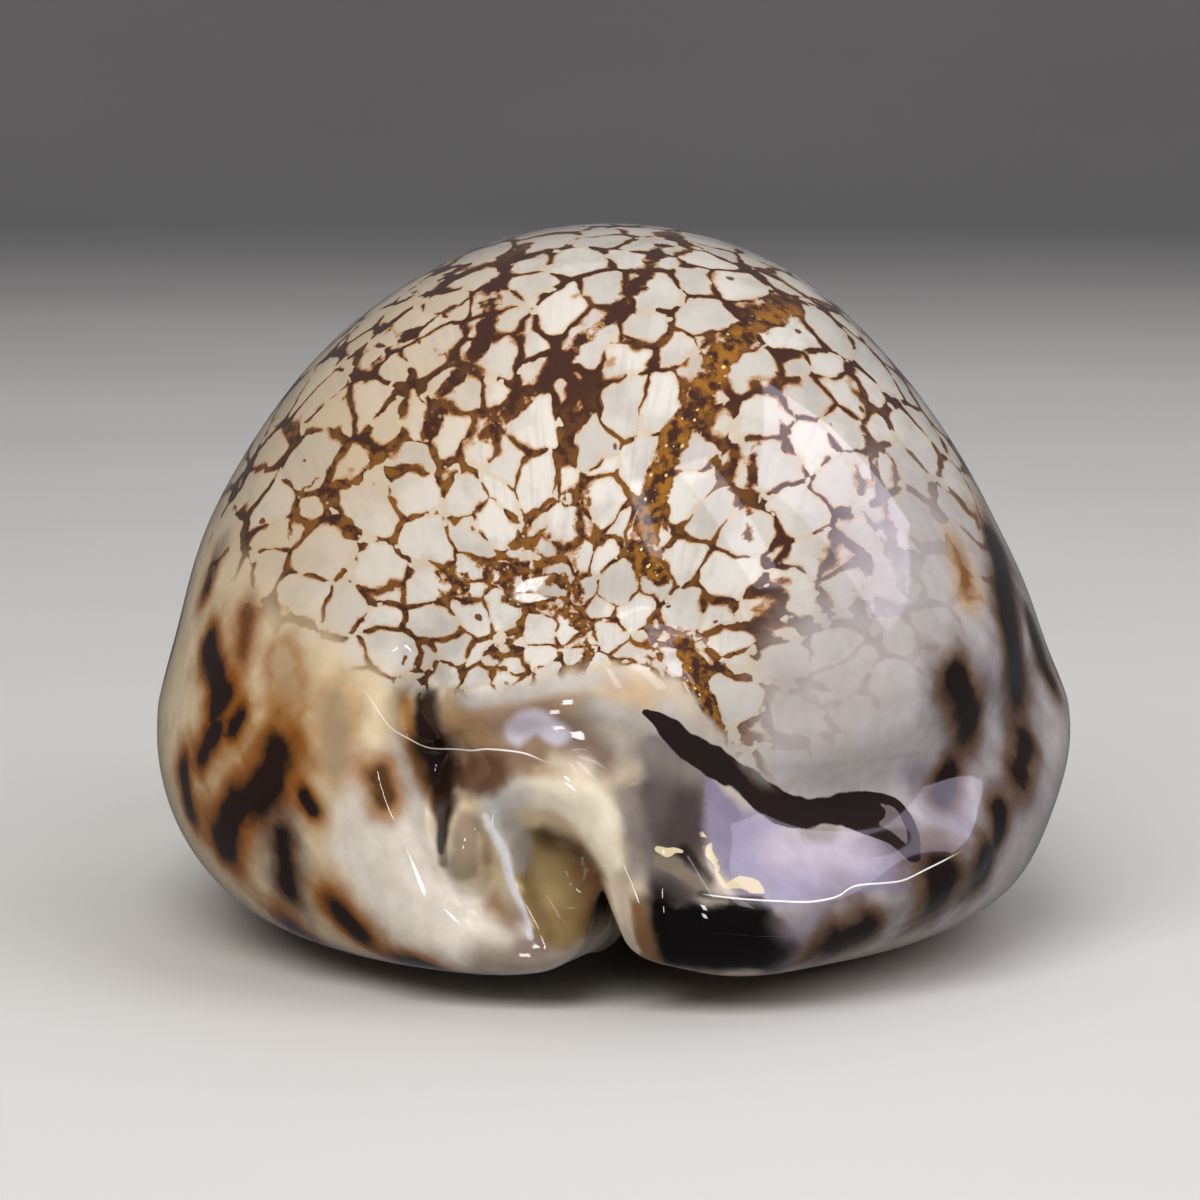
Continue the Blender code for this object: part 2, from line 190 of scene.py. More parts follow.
@dataclass
class ShellForm:
    """The shell's shape: an egg-shaped body, its callus, its slit with teeth, and its hollow."""

    length: float = 58.0
    width: float = 40.0
    height: float = 31.5
    waist: float = 10.3
    plan_fullness: float = 2.4
    profile_fullness: float = 2.2
    base_fullness: float = 3.95
    back_is_wider: float = 0.12
    back_is_higher: float = 0.04
    flank_flatness: float = 0.07
    base_tuck: float = 0.25
    rests_at: float = 0.25
    settling: float = 0.3
    lean: float = 0.4
    lean_starts: tuple[float, float] = (13.0, 19.0)
    lean_ends: tuple[float, float] = (31.5, 25.0)
    walls: tuple[float, float, float, float] = (2.1, 4.3, 1.3, 3.0)
    dabs: int = 3
    search_reach: float = 1.6
    search_halvings: int = 26
    broad: tuple[Stroke, ...] = (
        Stroke(1.7, 4.2, ((-5.0, -28.6, 11.2), (-0.5, -28.8, 11.6), (4.5, -28.6, 8.6)), Push.BACKWARD),
        Stroke(-0.6, 1.3, ((-8.0, -27.0, 14.4), (-4.8, -27.6, 16.0), (-1.5, -28.0, 16.9),
            (2.4, -28.0, 16.8), (5.4, -27.8, 14.8), (7.4, -27.5, 11.8)), Push.BACKWARD),
        Stroke(1.0, 2.6, ((-11.0, -27.0, 12.0), (-10.0, -27.5, 9.0), (-9.2, -27.8, 6.0),
            (-8.4, -28.0, 3.2)), Push.BACKWARD),
        Stroke(1.2, 2.4, ((-8.0, -28.0, 2.0), (-4.5, -28.8, 1.9), (-1.6, -28.8, 2.2)), Push.BACKWARD),
        Stroke(1.9, 3.0, ((1.4, -28.6, 5.0), (3.0, -28.2, 3.6), (6.0, -28.2, 2.8), (9.0, -27.6, 2.6)),
            Push.BACKWARD),
        Stroke(1.25, 1.9, ((3.0, -28.6, 5.6), (5.2, -28.6, 4.7), (8.2, -28.0, 4.3), (11.5, -26.8, 4.7),
            (14.0, -24.8, 5.6), (15.6, -22.6, 6.2))),
        Stroke(-1.5, 2.2, ((4.6, -28.6, 12.2), (5.8, -28.6, 10.0), (7.8, -28.4, 8.6), (10.6, -27.4, 8.3),
            (13.4, -25.6, 9.0), (16.4, -21.0, 10.2), (18.2, -14.0, 11.2))),
        Stroke(0.3, 2.6, ((-14.0, -23.5, 8.0), (-18.8, -12.0, 8.8), (-19.4, 0.0, 8.8), (-17.0, 14.0, 7.6),
            (-10.5, 24.5, 6.0), (-5.0, 28.0, 5.0))),
        Stroke(-0.5, 2.6, ((-13.0, -24.5, 3.6), (-17.6, -14.0, 4.0), (-18.4, -6.0, 4.0),
            (-18.4, 2.0, 4.0))),
        Stroke(0.6, 3.0, ((16.5, -20.0, 8.6), (19.0, -11.0, 9.4), (19.4, 0.0, 9.2), (17.0, 14.0, 8.0),
            (10.5, 24.5, 6.0), (5.0, 28.0, 5.0))),
        Stroke(-0.25, 2.2, ((14.0, -24.0, 4.6), (17.8, -16.0, 5.0), (18.8, -8.0, 5.2), (18.8, 2.0, 5.2))),
        Stroke(-0.3, 2.6, ((16.0, -18.0, 12.0), (18.2, -10.0, 12.4), (18.6, 0.0, 12.8),
            (16.0, 14.0, 12.0), (11.0, 22.0, 12.0))),
        Stroke(-0.9, 1.8, ((-9.5, 23.6, 9.4), (-5.0, 26.2, 10.6), (0.0, 26.8, 11.4), (5.0, 26.2, 10.6),
            (9.5, 23.6, 9.4))),
        Stroke(1.1, 1.7, ((-7.4, 26.8, 3.0), (-5.4, 28.0, 6.4), (0.0, 28.9, 8.0), (5.4, 28.0, 6.4),
            (7.4, 26.8, 3.0)), Push.FORWARD),
        Stroke(1.3, 3.0, ((0.5, -29.0, 0.0), (0.8, -24.0, 0.0), (1.6, -18.0, 0.0), (2.0, -8.0, 0.0),
            (2.0, 3.0, 0.0), (1.6, 13.0, 0.0), (0.9, 21.0, 0.0), (0.2, 29.0, 0.0)), Push.UPWARD),
    )
    # The hollow of the canal, the pit beside the spire and the dip under the mound.
    troughs: tuple[Strip, ...] = (
        Strip(((-4.2, 7.4, 1.4, 0.3), (-3.2, 7.4, 1.8, -0.4), (-2.1, 7.0, 2.0, -0.8),
            (-1.2, 6.2, 2.0, -1.0), (-0.6, 5.0, 1.8, -0.9), (-0.2, 3.6, 1.5, -0.6), (0.1, 2.2, 1.3, 0.0)),
            1.0),
        Strip(((-8.3, 15.4, 0.9, 0.5), (-8.0, 14.2, 1.1, -0.6), (-7.7, 12.8, 1.25, -1.8),
            (-7.3, 11.2, 1.3, -2.3), (-6.9, 9.6, 1.25, -2.2), (-6.5, 8.0, 1.2, -1.6),
            (-6.1, 6.4, 1.1, -0.9), (-5.5, 5.0, 1.0, -0.3), (-4.9, 4.0, 0.9, 0.3)), 1.0),
        Strip(((-7.4, 11.0, 1.2, -1.0), (-5.8, 11.4, 1.3, -0.5), (-4.2, 11.7, 1.4, 0.1)), 1.4),
        Strip(((-5.6, 6.8, 1.0, -0.6), (-4.9, 5.2, 1.0, -0.5), (-4.2, 4.0, 0.9, 0.2)), 0.9),
    )
    # The arch of the canal, its thin fold, the glassy knob and the upper edge of the mound.
    ridges: tuple[Strip, ...] = (
        Strip(((1.9, 0.4, 1.1, -0.9), (1.5, 2.0, 1.1, -0.1), (0.95, 3.9, 1.1, 0.55), (0.5, 6.0, 1.2, 0.9),
            (0.0, 7.7, 1.35, 1.05), (-0.8, 9.1, 1.4, 1.05), (-1.9, 9.95, 1.45, 1.0),
            (-3.2, 10.0, 1.4, 0.9), (-4.3, 9.4, 1.3, 0.6), (-5.1, 8.5, 1.0, 0.0)), 0.9),
        Strip(((-5.0, 9.4, 0.8, 0.1), (-4.95, 8.2, 0.6, 0.5), (-4.3, 6.7, 0.45, 0.4),
            (-3.6, 5.0, 0.4, 0.25), (-2.9, 3.8, 0.4, 0.1), (-2.3, 3.0, 0.4, -0.3)), 0.4),
        Strip(((-6.15, 9.6, 0.7, -1.5), (-6.15, 8.7, 0.85, -0.2), (-6.1, 7.6, 1.0, 0.5),
            (-6.0, 6.6, 1.0, 0.5), (-5.85, 5.6, 0.85, 0.0), (-5.6, 4.8, 0.7, -0.9)), 0.5),
        Strip(((-7.6, 12.0, 1.0, -1.2), (-6.6, 12.7, 1.1, -0.3), (-5.2, 13.3, 1.3, 0.1),
            (-2.8, 13.8, 1.5, 0.3), (0.2, 14.0, 1.6, 0.3), (2.4, 13.2, 1.5, 0.1), (3.9, 11.4, 1.3, -0.4),
            (4.8, 9.4, 1.1, -1.2)), 1.4),
    )
    # The slit: x, y and z on the surface, and its half-width, from the back end to the front.
    slit: Rows = (
        (-0.2, -29.0, 6.7, -0.2), (-0.14, -29.0, 5.6, 0.26), (-0.1, -28.9, 4.4, 0.55),
        (-0.1, -28.6, 3.4, 0.9), (-0.08, -28.0, 2.2, 1.3), (0.05, -27.0, 0.9, 1.4),
        (0.65, -24.5, 0.2, 1.15), (1.6, -18.0, 0.4, 1.05), (2.0, -8.0, 0.4, 1.2), (2.0, 3.0, 0.4, 1.35),
        (1.6, 13.0, 0.4, 1.55), (0.9, 21.0, 0.4, 1.75), (0.4, 25.5, 0.5, 1.7), (0.0, 28.6, 1.6, 1.6),
        (0.0, 29.4, 4.0, 1.5), (0.0, 29.4, 5.2, 1.2),
    )
    throat: Rows = ((0.8, -20.0, 10.0), (0.8, 19.0, 10.0))
    slit_depth: float = 6.5
    wall_slope: float = 14.0
    lip_roll: float = 1.3
    toothed: tuple[float, float] = (-23.5, 23.5)
    inner_teeth: int = 27
    outer_teeth: int = 30
    teeth_reach: tuple[float, float] = (2.3, 3.4)
    slit_reach: float = 9.0
    tooth_height: float = 0.32
    tooth_overhang: float = 0.4

    def taper(self, along: Array, fullness: float) -> Array:
        """How wide a section is at this place along the shell, from 1 in the middle to 0 at an end."""
        return (1 - np.abs(along) ** fullness) ** (1 / fullness)

    def inside(self, points: Array) -> Array:
        """Whether each point is inside the plain egg-shaped body."""
        x, y, z = np.abs(points[:, 0]), points[:, 1], points[:, 2] - self.waist
        along = np.clip(2 * y / self.length, -1, 1)
        plan = self.taper(along, self.plan_fullness)
        half_width = np.maximum(self.width / 2 * plan * (1 - self.back_is_wider * along), 1e-6)
        dome = (self.height - self.waist) * self.taper(along, self.profile_fullness)
        dome = np.maximum(dome * (1 - self.back_is_higher * along), 1e-6)
        rise = np.clip(z / dome, 0, 1)
        side = np.sqrt(1 - rise**2)
        above = x < half_width * side * (1 - self.flank_flatness * 2 * side * rise)
        share = np.clip(x / half_width, 0, 1)
        tuck = 1 - self.base_tuck + self.base_tuck * plan
        depth = self.waist * tuck * self.taper(share, self.base_fullness)
        below = (x < half_width) & (-z < depth)
        return np.where(z > 0, above & (z < dome), below) & (np.abs(2 * y) < self.length)

    def body_points(self, directions: Array) -> Array:
        """The surface of the plain egg-shaped body.

        Args:
            directions: unit vectors, one row each.

        Returns:
            The surface point in each direction from the middle, in body millimetres.
        """
        rays = directions * np.array([self.width / 2, self.length / 2, self.height / 2])
        middle = np.array([0, 0, self.waist + 0.4])
        near, far = np.zeros(len(rays)), np.full(len(rays), self.search_reach)
        for _ in range(self.search_halvings):
            half = (near + far) / 2
            within = self.inside(middle + rays * half[:, None])
            near, far = np.where(within, half, near), np.where(within, far, half)
        return middle + rays * near[:, None]

    def broad_strokes(self, points: Array, normals: Array) -> Array:
        """The body with its soft callus. A stroke has a bell-shaped section and fades at its ends.

        Args:
            points: the plain body's points.
            normals: the outward normal at each.

        Returns:
            The moved points.
        """
        moved = points.copy()
        for stroke in self.broad:
            path = even_path(smooth_rows(stroke.points, 8), stroke.width / self.dabs)
            reach = 3 * stroke.width
            low, high = path.min(axis=0) - reach, path.max(axis=0) + reach
            near = np.flatnonzero(((points > low) & (points < high)).all(axis=1))
            weight = np.zeros(len(near))
            for place in path:
                weight += np.exp(-((points[near] - place) ** 2).sum(axis=1) / stroke.width**2)
            weight *= stroke.height / self.dabs / math.sqrt(math.pi)
            push = normals[near] if stroke.push.value is None else np.array(stroke.push.value)
            moved[near] += weight[:, None] * push
        return moved

    def back_relief(self, points: Array) -> Array:
        """How far the fine forms of the back end stand out behind the broad surface."""
        relief = np.zeros(len(points))
        zone = np.flatnonzero((points[:, 1] < -23) & (np.abs(points[:, 0]) < 12) & (points[:, 2] < 19))
        flat = points[zone][:, (0, 2)]
        lift = np.zeros(len(zone))
        for strip in self.troughs + self.ridges:
            path = smooth_rows(strip.rows, 14)
            low, high = path[:, :2].min(axis=0) - 4, path[:, :2].max(axis=0) + 4
            near = np.flatnonzero(((flat > low) & (flat < high)).all(axis=1))
            away, rows = near_path(flat[near], path)
            radius, height = rows[:, 2], rows[:, 3]
            fall = radius * (1 - round_cap(away / radius))
            if strip in self.troughs:
                lift[near] = -soft_max(-lift[near], -height - fall, strip.fillet)
            else:
                lift[near] = soft_max(lift[near], height - fall, strip.fillet)
        relief[zone] = lift * soft_step(-23.0, -25.5, points[zone, 1])
        return relief

    def tooth_wave(self, station: Array, side: Array) -> Array:
        """How much of a tooth there is at this place along each lip, from 0 between to 1 on top.

        Args:
            station: millimetres along the shell.
            side: below 0 on the inner (left) lip, above 0 on the outer lip.

        Returns:
            The wave, faded out at both ends of each row.
        """
        start, end = self.toothed
        count = np.where(side < 0, self.inner_teeth, self.outer_teeth)
        phase = (station - start) / (end - start) * count
        wave = 0.5 + 0.5 * np.cos(2 * np.pi * phase)
        ends = soft_step(start - 0.5, start + 1.5, station) * soft_step(end + 0.5, end - 1.5, station)
        return soft_step(0.15, 0.75, wave) * ends

    def open_slit(self, points: Array, plain: Array) -> Array:
        """The surface with the slit sunk into it: rolled lips, teeth and steep walls.

        Args:
            points: the surface without the slit.
            plain: the plain body's points, which say where along the slit each point is.

        Returns:
            The moved points.
        """
        away, rows = near_path(plain, smooth_rows(self.slit, 12))
        beside = np.flatnonzero(away < self.slit_reach)
        rows, near = rows[beside], points[beside]
        start, end = np.array(self.throat[0]), np.array(self.throat[1])
        share = np.clip((near[:, 1] - start[1]) / (end[1] - start[1]), 0, 1)
        inward = start + share[:, None] * (end - start) - near
        inward /= np.linalg.norm(inward, axis=1)[:, None]
        offset = near - rows[:, :3]
        offset -= np.einsum("ij,ij->i", offset, inward)[:, None] * inward
        away = np.linalg.norm(offset, axis=1)
        tooth = self.tooth_wave(rows[:, 1], offset[:, 0])
        beyond = away - (rows[:, 3] - self.tooth_overhang * tooth)
        roll = self.lip_roll
        curl = 1 - np.clip(beyond / roll, 0, 1)
        drop = roll * (1 - np.sqrt(np.clip(1 - curl**2, 0, 1))) + np.maximum(-beyond, 0) * self.wall_slope
        drop = np.minimum(drop, self.slit_depth)
        reach = np.where(offset[:, 0] < 0, *self.teeth_reach)
        window = soft_step(reach + 0.9, reach - 1.3, away) * soft_step(-0.2, 0.5, beyond)
        lift = self.tooth_height * tooth * window
        moved = points.copy()
        moved[beside] += inward * (drop - lift)[:, None]
        return moved

    def surface(self, directions: Array, normals_of: Callable[[Array], Array]) -> tuple[Array, Array]:
        """All of the outside, in body millimetres.

        Args:
            directions: unit vectors, one row for each vertex.
            normals_of: a function that gives the outward normals for these points.

        Returns:
            The surface points, and the plain body's point for each.
        """
        plain = self.body_points(directions)
        points = self.broad_strokes(plain, normals_of(plain))
        points[:, 1] -= self.back_relief(points)
        points = self.open_slit(points, plain)
        under = points[:, 2] - self.rests_at
        settled = self.settling * np.exp(np.minimum(under - self.settling, 0) / self.settling)
        points[:, 2] = self.rests_at + np.where(under > self.settling, under, settled)
        leaning = soft_step(*self.lean_starts, points[:, 2]) * soft_step(*self.lean_ends, points[:, 2])
        points[:, 0] -= self.lean * leaning
        return points, plain

    def cavity_points(self, directions: Array) -> Array:
        """The hollow inside: the plain body, moved in by the wall."""
        points = self.body_points(directions)
        side, end, top, floor = self.walls
        low, high = points.min(axis=0), points.max(axis=0)
        middle = np.array([0, 0, self.waist])
        above = points[:, 2:] > self.waist
        inset = np.where(above, np.array([side, end, top]), np.array([side, end, floor]))
        reach = np.where(above, high - middle, middle - low)
        return middle + (points - middle) * (1 - inset / reach)


# ---------------------------------------------------------------- making meshes with the operators


class Bench:
    """Small modelling jobs done with Blender's operators."""

    @staticmethod
    def deselect() -> None:
        """Leaves nothing selected and no object in edit mode."""
        if bpy.context.object and bpy.context.object.mode != "OBJECT":
            bpy.ops.object.mode_set(mode="OBJECT")
        bpy.ops.object.select_all(action="DESELECT")

    @classmethod
    def pick(cls, obj: bpy.types.Object) -> None:
        """Makes obj the only selected object, and the active one."""
        cls.deselect()
        obj.select_set(True)
        bpy.context.view_layer.objects.active = obj

    @classmethod
    def round_blank(cls, name: str, level: int) -> bpy.types.Object:
        """A unit sphere of even triangles to shape a form from."""
        cls.deselect()
        bpy.ops.mesh.primitive_ico_sphere_add(subdivisions=level, radius=1.0)
        blank = bpy.context.object
        blank.name = blank.data.name = name
        return blank

    @classmethod
    def refine(cls, obj: bpy.types.Object, chosen: Array) -> None:
        """Splits the chosen faces of a round blank in four, and rounds the new points out to the sphere.

        Args:
            obj: the blank.
            chosen: for each face, whether it is split.
        """
        cls.pick(obj)
        obj.data.polygons.foreach_set("select", np.asarray(chosen, bool))
        edges = np.zeros(len(obj.data.edges), bool)
        loops = cls.face_rows(obj, "edges")
        edges[np.unique(loops[chosen])] = True
        obj.data.edges.foreach_set("select", edges)
        verts = np.zeros(len(obj.data.vertices), bool)
        verts[np.unique(cls.face_rows(obj, "verts")[chosen])] = True
        obj.data.vertices.foreach_set("select", verts)
        bpy.ops.object.mode_set(mode="EDIT")
        bpy.ops.mesh.select_mode(type="FACE")
        bpy.ops.mesh.subdivide(number_cuts=1, quadcorner="INNERVERT")
        bpy.ops.mesh.select_all(action="SELECT")
        bpy.ops.mesh.quads_convert_to_tris(quad_method="SHORTEST_DIAGONAL", ngon_method="BEAUTY")
        bpy.ops.object.mode_set(mode="OBJECT")
        points = cls.points(obj)
        cls.place(obj, points / np.linalg.norm(points, axis=1)[:, None])

    @staticmethod
    def face_rows(obj: bpy.types.Object, kind: str) -> Array:
        """The three vertices ("verts") or edges ("edges") of each triangle of a mesh."""
        rows = np.empty(len(obj.data.loops), int)
        obj.data.loops.foreach_get("vertex_index" if kind == "verts" else "edge_index", rows)
        return rows.reshape(-1, 3)

    @staticmethod
    def points(obj: bpy.types.Object) -> Array:
        """The vertices of a mesh, one row each."""
        flat = np.empty(len(obj.data.vertices) * 3)
        obj.data.vertices.foreach_get("co", flat)
        return flat.reshape(-1, 3)

    @staticmethod
    def place(obj: bpy.types.Object, points: Array) -> None:
        """Moves the vertices of a mesh to these points."""
        obj.data.vertices.foreach_set("co", points.ravel())
        obj.data.update()

    @classmethod
    def normals(cls, obj: bpy.types.Object) -> Array:
        """The outward normal at each vertex of a closed mesh."""
        obj.data.update()
        flat = np.empty(len(obj.data.vertices) * 3)
        obj.data.vertices.foreach_get("normal", flat)
        normals = flat.reshape(-1, 3)
        points = cls.points(obj)
        outward = np.einsum("ij,ij->i", normals, points - points.mean(axis=0)).sum()
        return normals if outward > 0 else -normals

    @classmethod
    def cut(cls, obj: bpy.types.Object, cutter: bpy.types.Object) -> None:
        """Takes the cutter's form away from obj, and removes the cutter."""
        cls.pick(obj)
        modifier = obj.modifiers.new("cut", "BOOLEAN")
        modifier.operation = "DIFFERENCE"
        modifier.solver = "EXACT"
        modifier.object = cutter
        bpy.ops.object.modifier_apply(modifier=modifier.name)
        bpy.data.objects.remove(cutter)


@dataclass
class Shell:
    """The whole shell: builds the fine surface and hollows it out."""

    form: ShellForm = field(default_factory=ShellForm)
    set_off: tuple[float, float] = (-0.15, 0.88)
    level: int = 7
    cavity_level: int = 4

    def home(self) -> Array:
        """Where the body's own origin stands, so that the shell lies exactly where the CAD part does."""
        low, high = (np.array(corner) / MM for corner in CAD_BOX)
        middle = (low + high) / 2
        across, along = self.set_off
        return np.array([middle[0] + across, middle[1] + along, low[2] - self.form.rests_at])

    def build(self) -> bpy.types.Object:
        """Models the shell as one closed, hollow piece.

        Returns:
            The finished object, at the origin, with its place in its mesh.
        """
        shell = Bench.round_blank("cowrie_shell", self.level)
        for test in (self.near_slit, self.near_back, self.near_back_detail):
            corners = self.form.body_points(Bench.points(shell))[Bench.face_rows(shell, "verts")]
            Bench.refine(shell, test(corners.mean(axis=1)))
        directions = Bench.points(shell)

        def normals_of(points: Array) -> Array:
            """The normals once the shell's vertices are at these points."""
            Bench.place(shell, points)
            return Bench.normals(shell)

        points, plain = self.form.surface(directions, normals_of)
        Bench.place(shell, (points + self.home()) * MM)
        if Vector(Bench.normals(shell)[0]).dot(shell.data.vertices[0].normal) < 0:
            shell.data.flip_normals()
        cavity = Bench.round_blank("cavity_cutter", self.cavity_level)
        hollow = self.form.cavity_points(Bench.points(cavity))
        Bench.place(cavity, (hollow + self.home()) * MM)
        paint = ShellPaint(self.form)
        paint.apply(shell, points, plain)
        Bench.cut(shell, cavity)
        paint.line_inside(shell)
        shell.data.materials.clear()
        shell.data.materials.append(GlazedShell().material())
        Bench.pick(shell)
        bpy.ops.object.shade_smooth()
        log.info("shell: %d triangles", sum(len(p.vertices) - 2 for p in shell.data.polygons))
        return shell

    def near_slit(self, middles: Array) -> Array:
        """Which faces lie along the slit and its teeth."""
        away, _ = near_path(middles, np.array(self.form.slit))
        return away < 3.5

    def near_back(self, middles: Array) -> Array:
        """Which faces lie on the back end."""
        x, y, z = middles.T
        return (y < -22.5) & (x > -9.5) & (x < 14) & (z < 15.5) & ((x < 7) | (z > 2.5))

    def near_back_detail(self, middles: Array) -> Array:
        """Which faces lie where the canal, the fold and the pit are."""
        x, y, z = middles.T
        canal = (x > -8.4) & (x < 2.4) & (z < 12.0)
        pit = (x > -9.0) & (x < -6.4) & (z < 14.4)
        return (y < -26.2) & (z > 1.6) & (canal | pit)


# ---------------------------------------------------------------- colours under the glaze

Colour = tuple[float, float, float]


def shade(red: int, green: int, blue: int) -> Colour:
    """A colour given from 0 to 255 a channel, as the linear values that a shader takes."""
    parts = (red / 255, green / 255, blue / 255)
    return tuple(c / 12.92 if c < 0.04045 else ((c + 0.055) / 1.055) ** 2.4 for c in parts)


class Tint:
    """The colours of the shell, painted shade, shadow, highlights and reflections among them."""

    WARM_CREAM = shade(220, 202, 170)
    # The callus's own cool cream, also laid as a painted reflection that veils the net.
    COOL_CREAM_AND_SHEEN = shade(186, 181, 185)
    WHITE = shade(228, 222, 214)
    # Painted shade for the lower lobes.
    LOBE_SHADE = shade(130, 114, 102)
    # The underside's cream, darkened as painted shade.
    BASE_IN_SHADE = shade(200, 182, 160)
    TOOTH = shade(122, 68, 38)
    AMBER = shade(156, 98, 38)
    HALO = shade(158, 106, 40)
    SMOKE = shade(112, 102, 106)
    SPOT = shade(26, 17, 16)
    PIT = shade(36, 22, 19)
    MOUND = shade(160, 136, 114)
    MOUND_DARK = shade(116, 94, 78)
    TAN = shade(182, 146, 100)
    MIST = shade(192, 188, 186)
    # A painted reflection of the lilac light.
    LAVENDER_REFLECTION = shade(206, 202, 220)
    PEARL = shade(172, 164, 158)
    BLUSH = shade(204, 156, 110)
    GREY_CALLUS = shade(100, 92, 92)
    SMOKE_GREY = shade(142, 134, 130)
    DUSK = shade(72, 62, 62)
    ARCH = shade(242, 234, 216)
    HAZE = shade(184, 182, 184)
    FOLD = shade(226, 228, 236)
    OLIVE = shade(140, 118, 80)
    # Painted shadow in the hollow.
    OLIVE_SHADE = shade(72, 54, 34)
    # Painted highlight on the hollow's bulge.
    OLIVE_LIT = shade(176, 156, 112)
    CLAY = shade(96, 66, 46)
    BARK = shade(126, 90, 58)
    KNOB = shade(150, 134, 118)
    KNOB_DARK = shade(88, 70, 56)
    PLUM = shade(140, 116, 114)
    PRONG = shade(12, 8, 8)
    CHIP = shade(214, 200, 172)
    CHIP_GREY = shade(132, 120, 108)
    # Painted shade, near-black, for the valley and the cracks.
    VALLEY_SHADE = shade(30, 20, 19)
    # Partly the callus's own lilac, partly a painted reflection of the lilac light.
    LILAC_AND_REFLECTION = shade(146, 140, 166)
    # A painted reflection of the lilac light, paler.
    LILAC_REFLECTION = shade(196, 184, 196)
    # The inside's colour, also laid as painted shade deep in the slit.
    INSIDE_AND_SHADE = shade(120, 92, 78)
    # Painted shadow, near-black, deep in the slit at the back end.
    GAP_SHADOW = shade(26, 18, 16)
    FAINT = shade(150, 112, 70)


class Layer(Enum):
    """How a brush's colour reaches the glaze: softly, or as a sharp mark over the soft colours."""

    SOFT = "soft"
    DARK = "dark"
    CHIP = "chip"


@dataclass(frozen=True)
class Brush:
    """A touch of colour along a line: x, y, z on the surface, or x and z seen from behind.

    Where the line's width changes, radii gives the radius at each of its points.
    """

    colour: Colour
    radius: float
    points: Rows
    strength: float = 1.0
    softness: float = 0.5
    radii: tuple[float, ...] = ()
    layer: Layer = Layer.SOFT


@dataclass(frozen=True)
class Spot:
    """A dark spot under the glaze, along a short line, with a halo round it."""

    radius: float
    points: Rows
    halo: Colour = Tint.HALO
    core: Colour = Tint.SPOT
    strength: float = 0.95


EDGE_WOBBLE = 0.28
FAR = 3.0


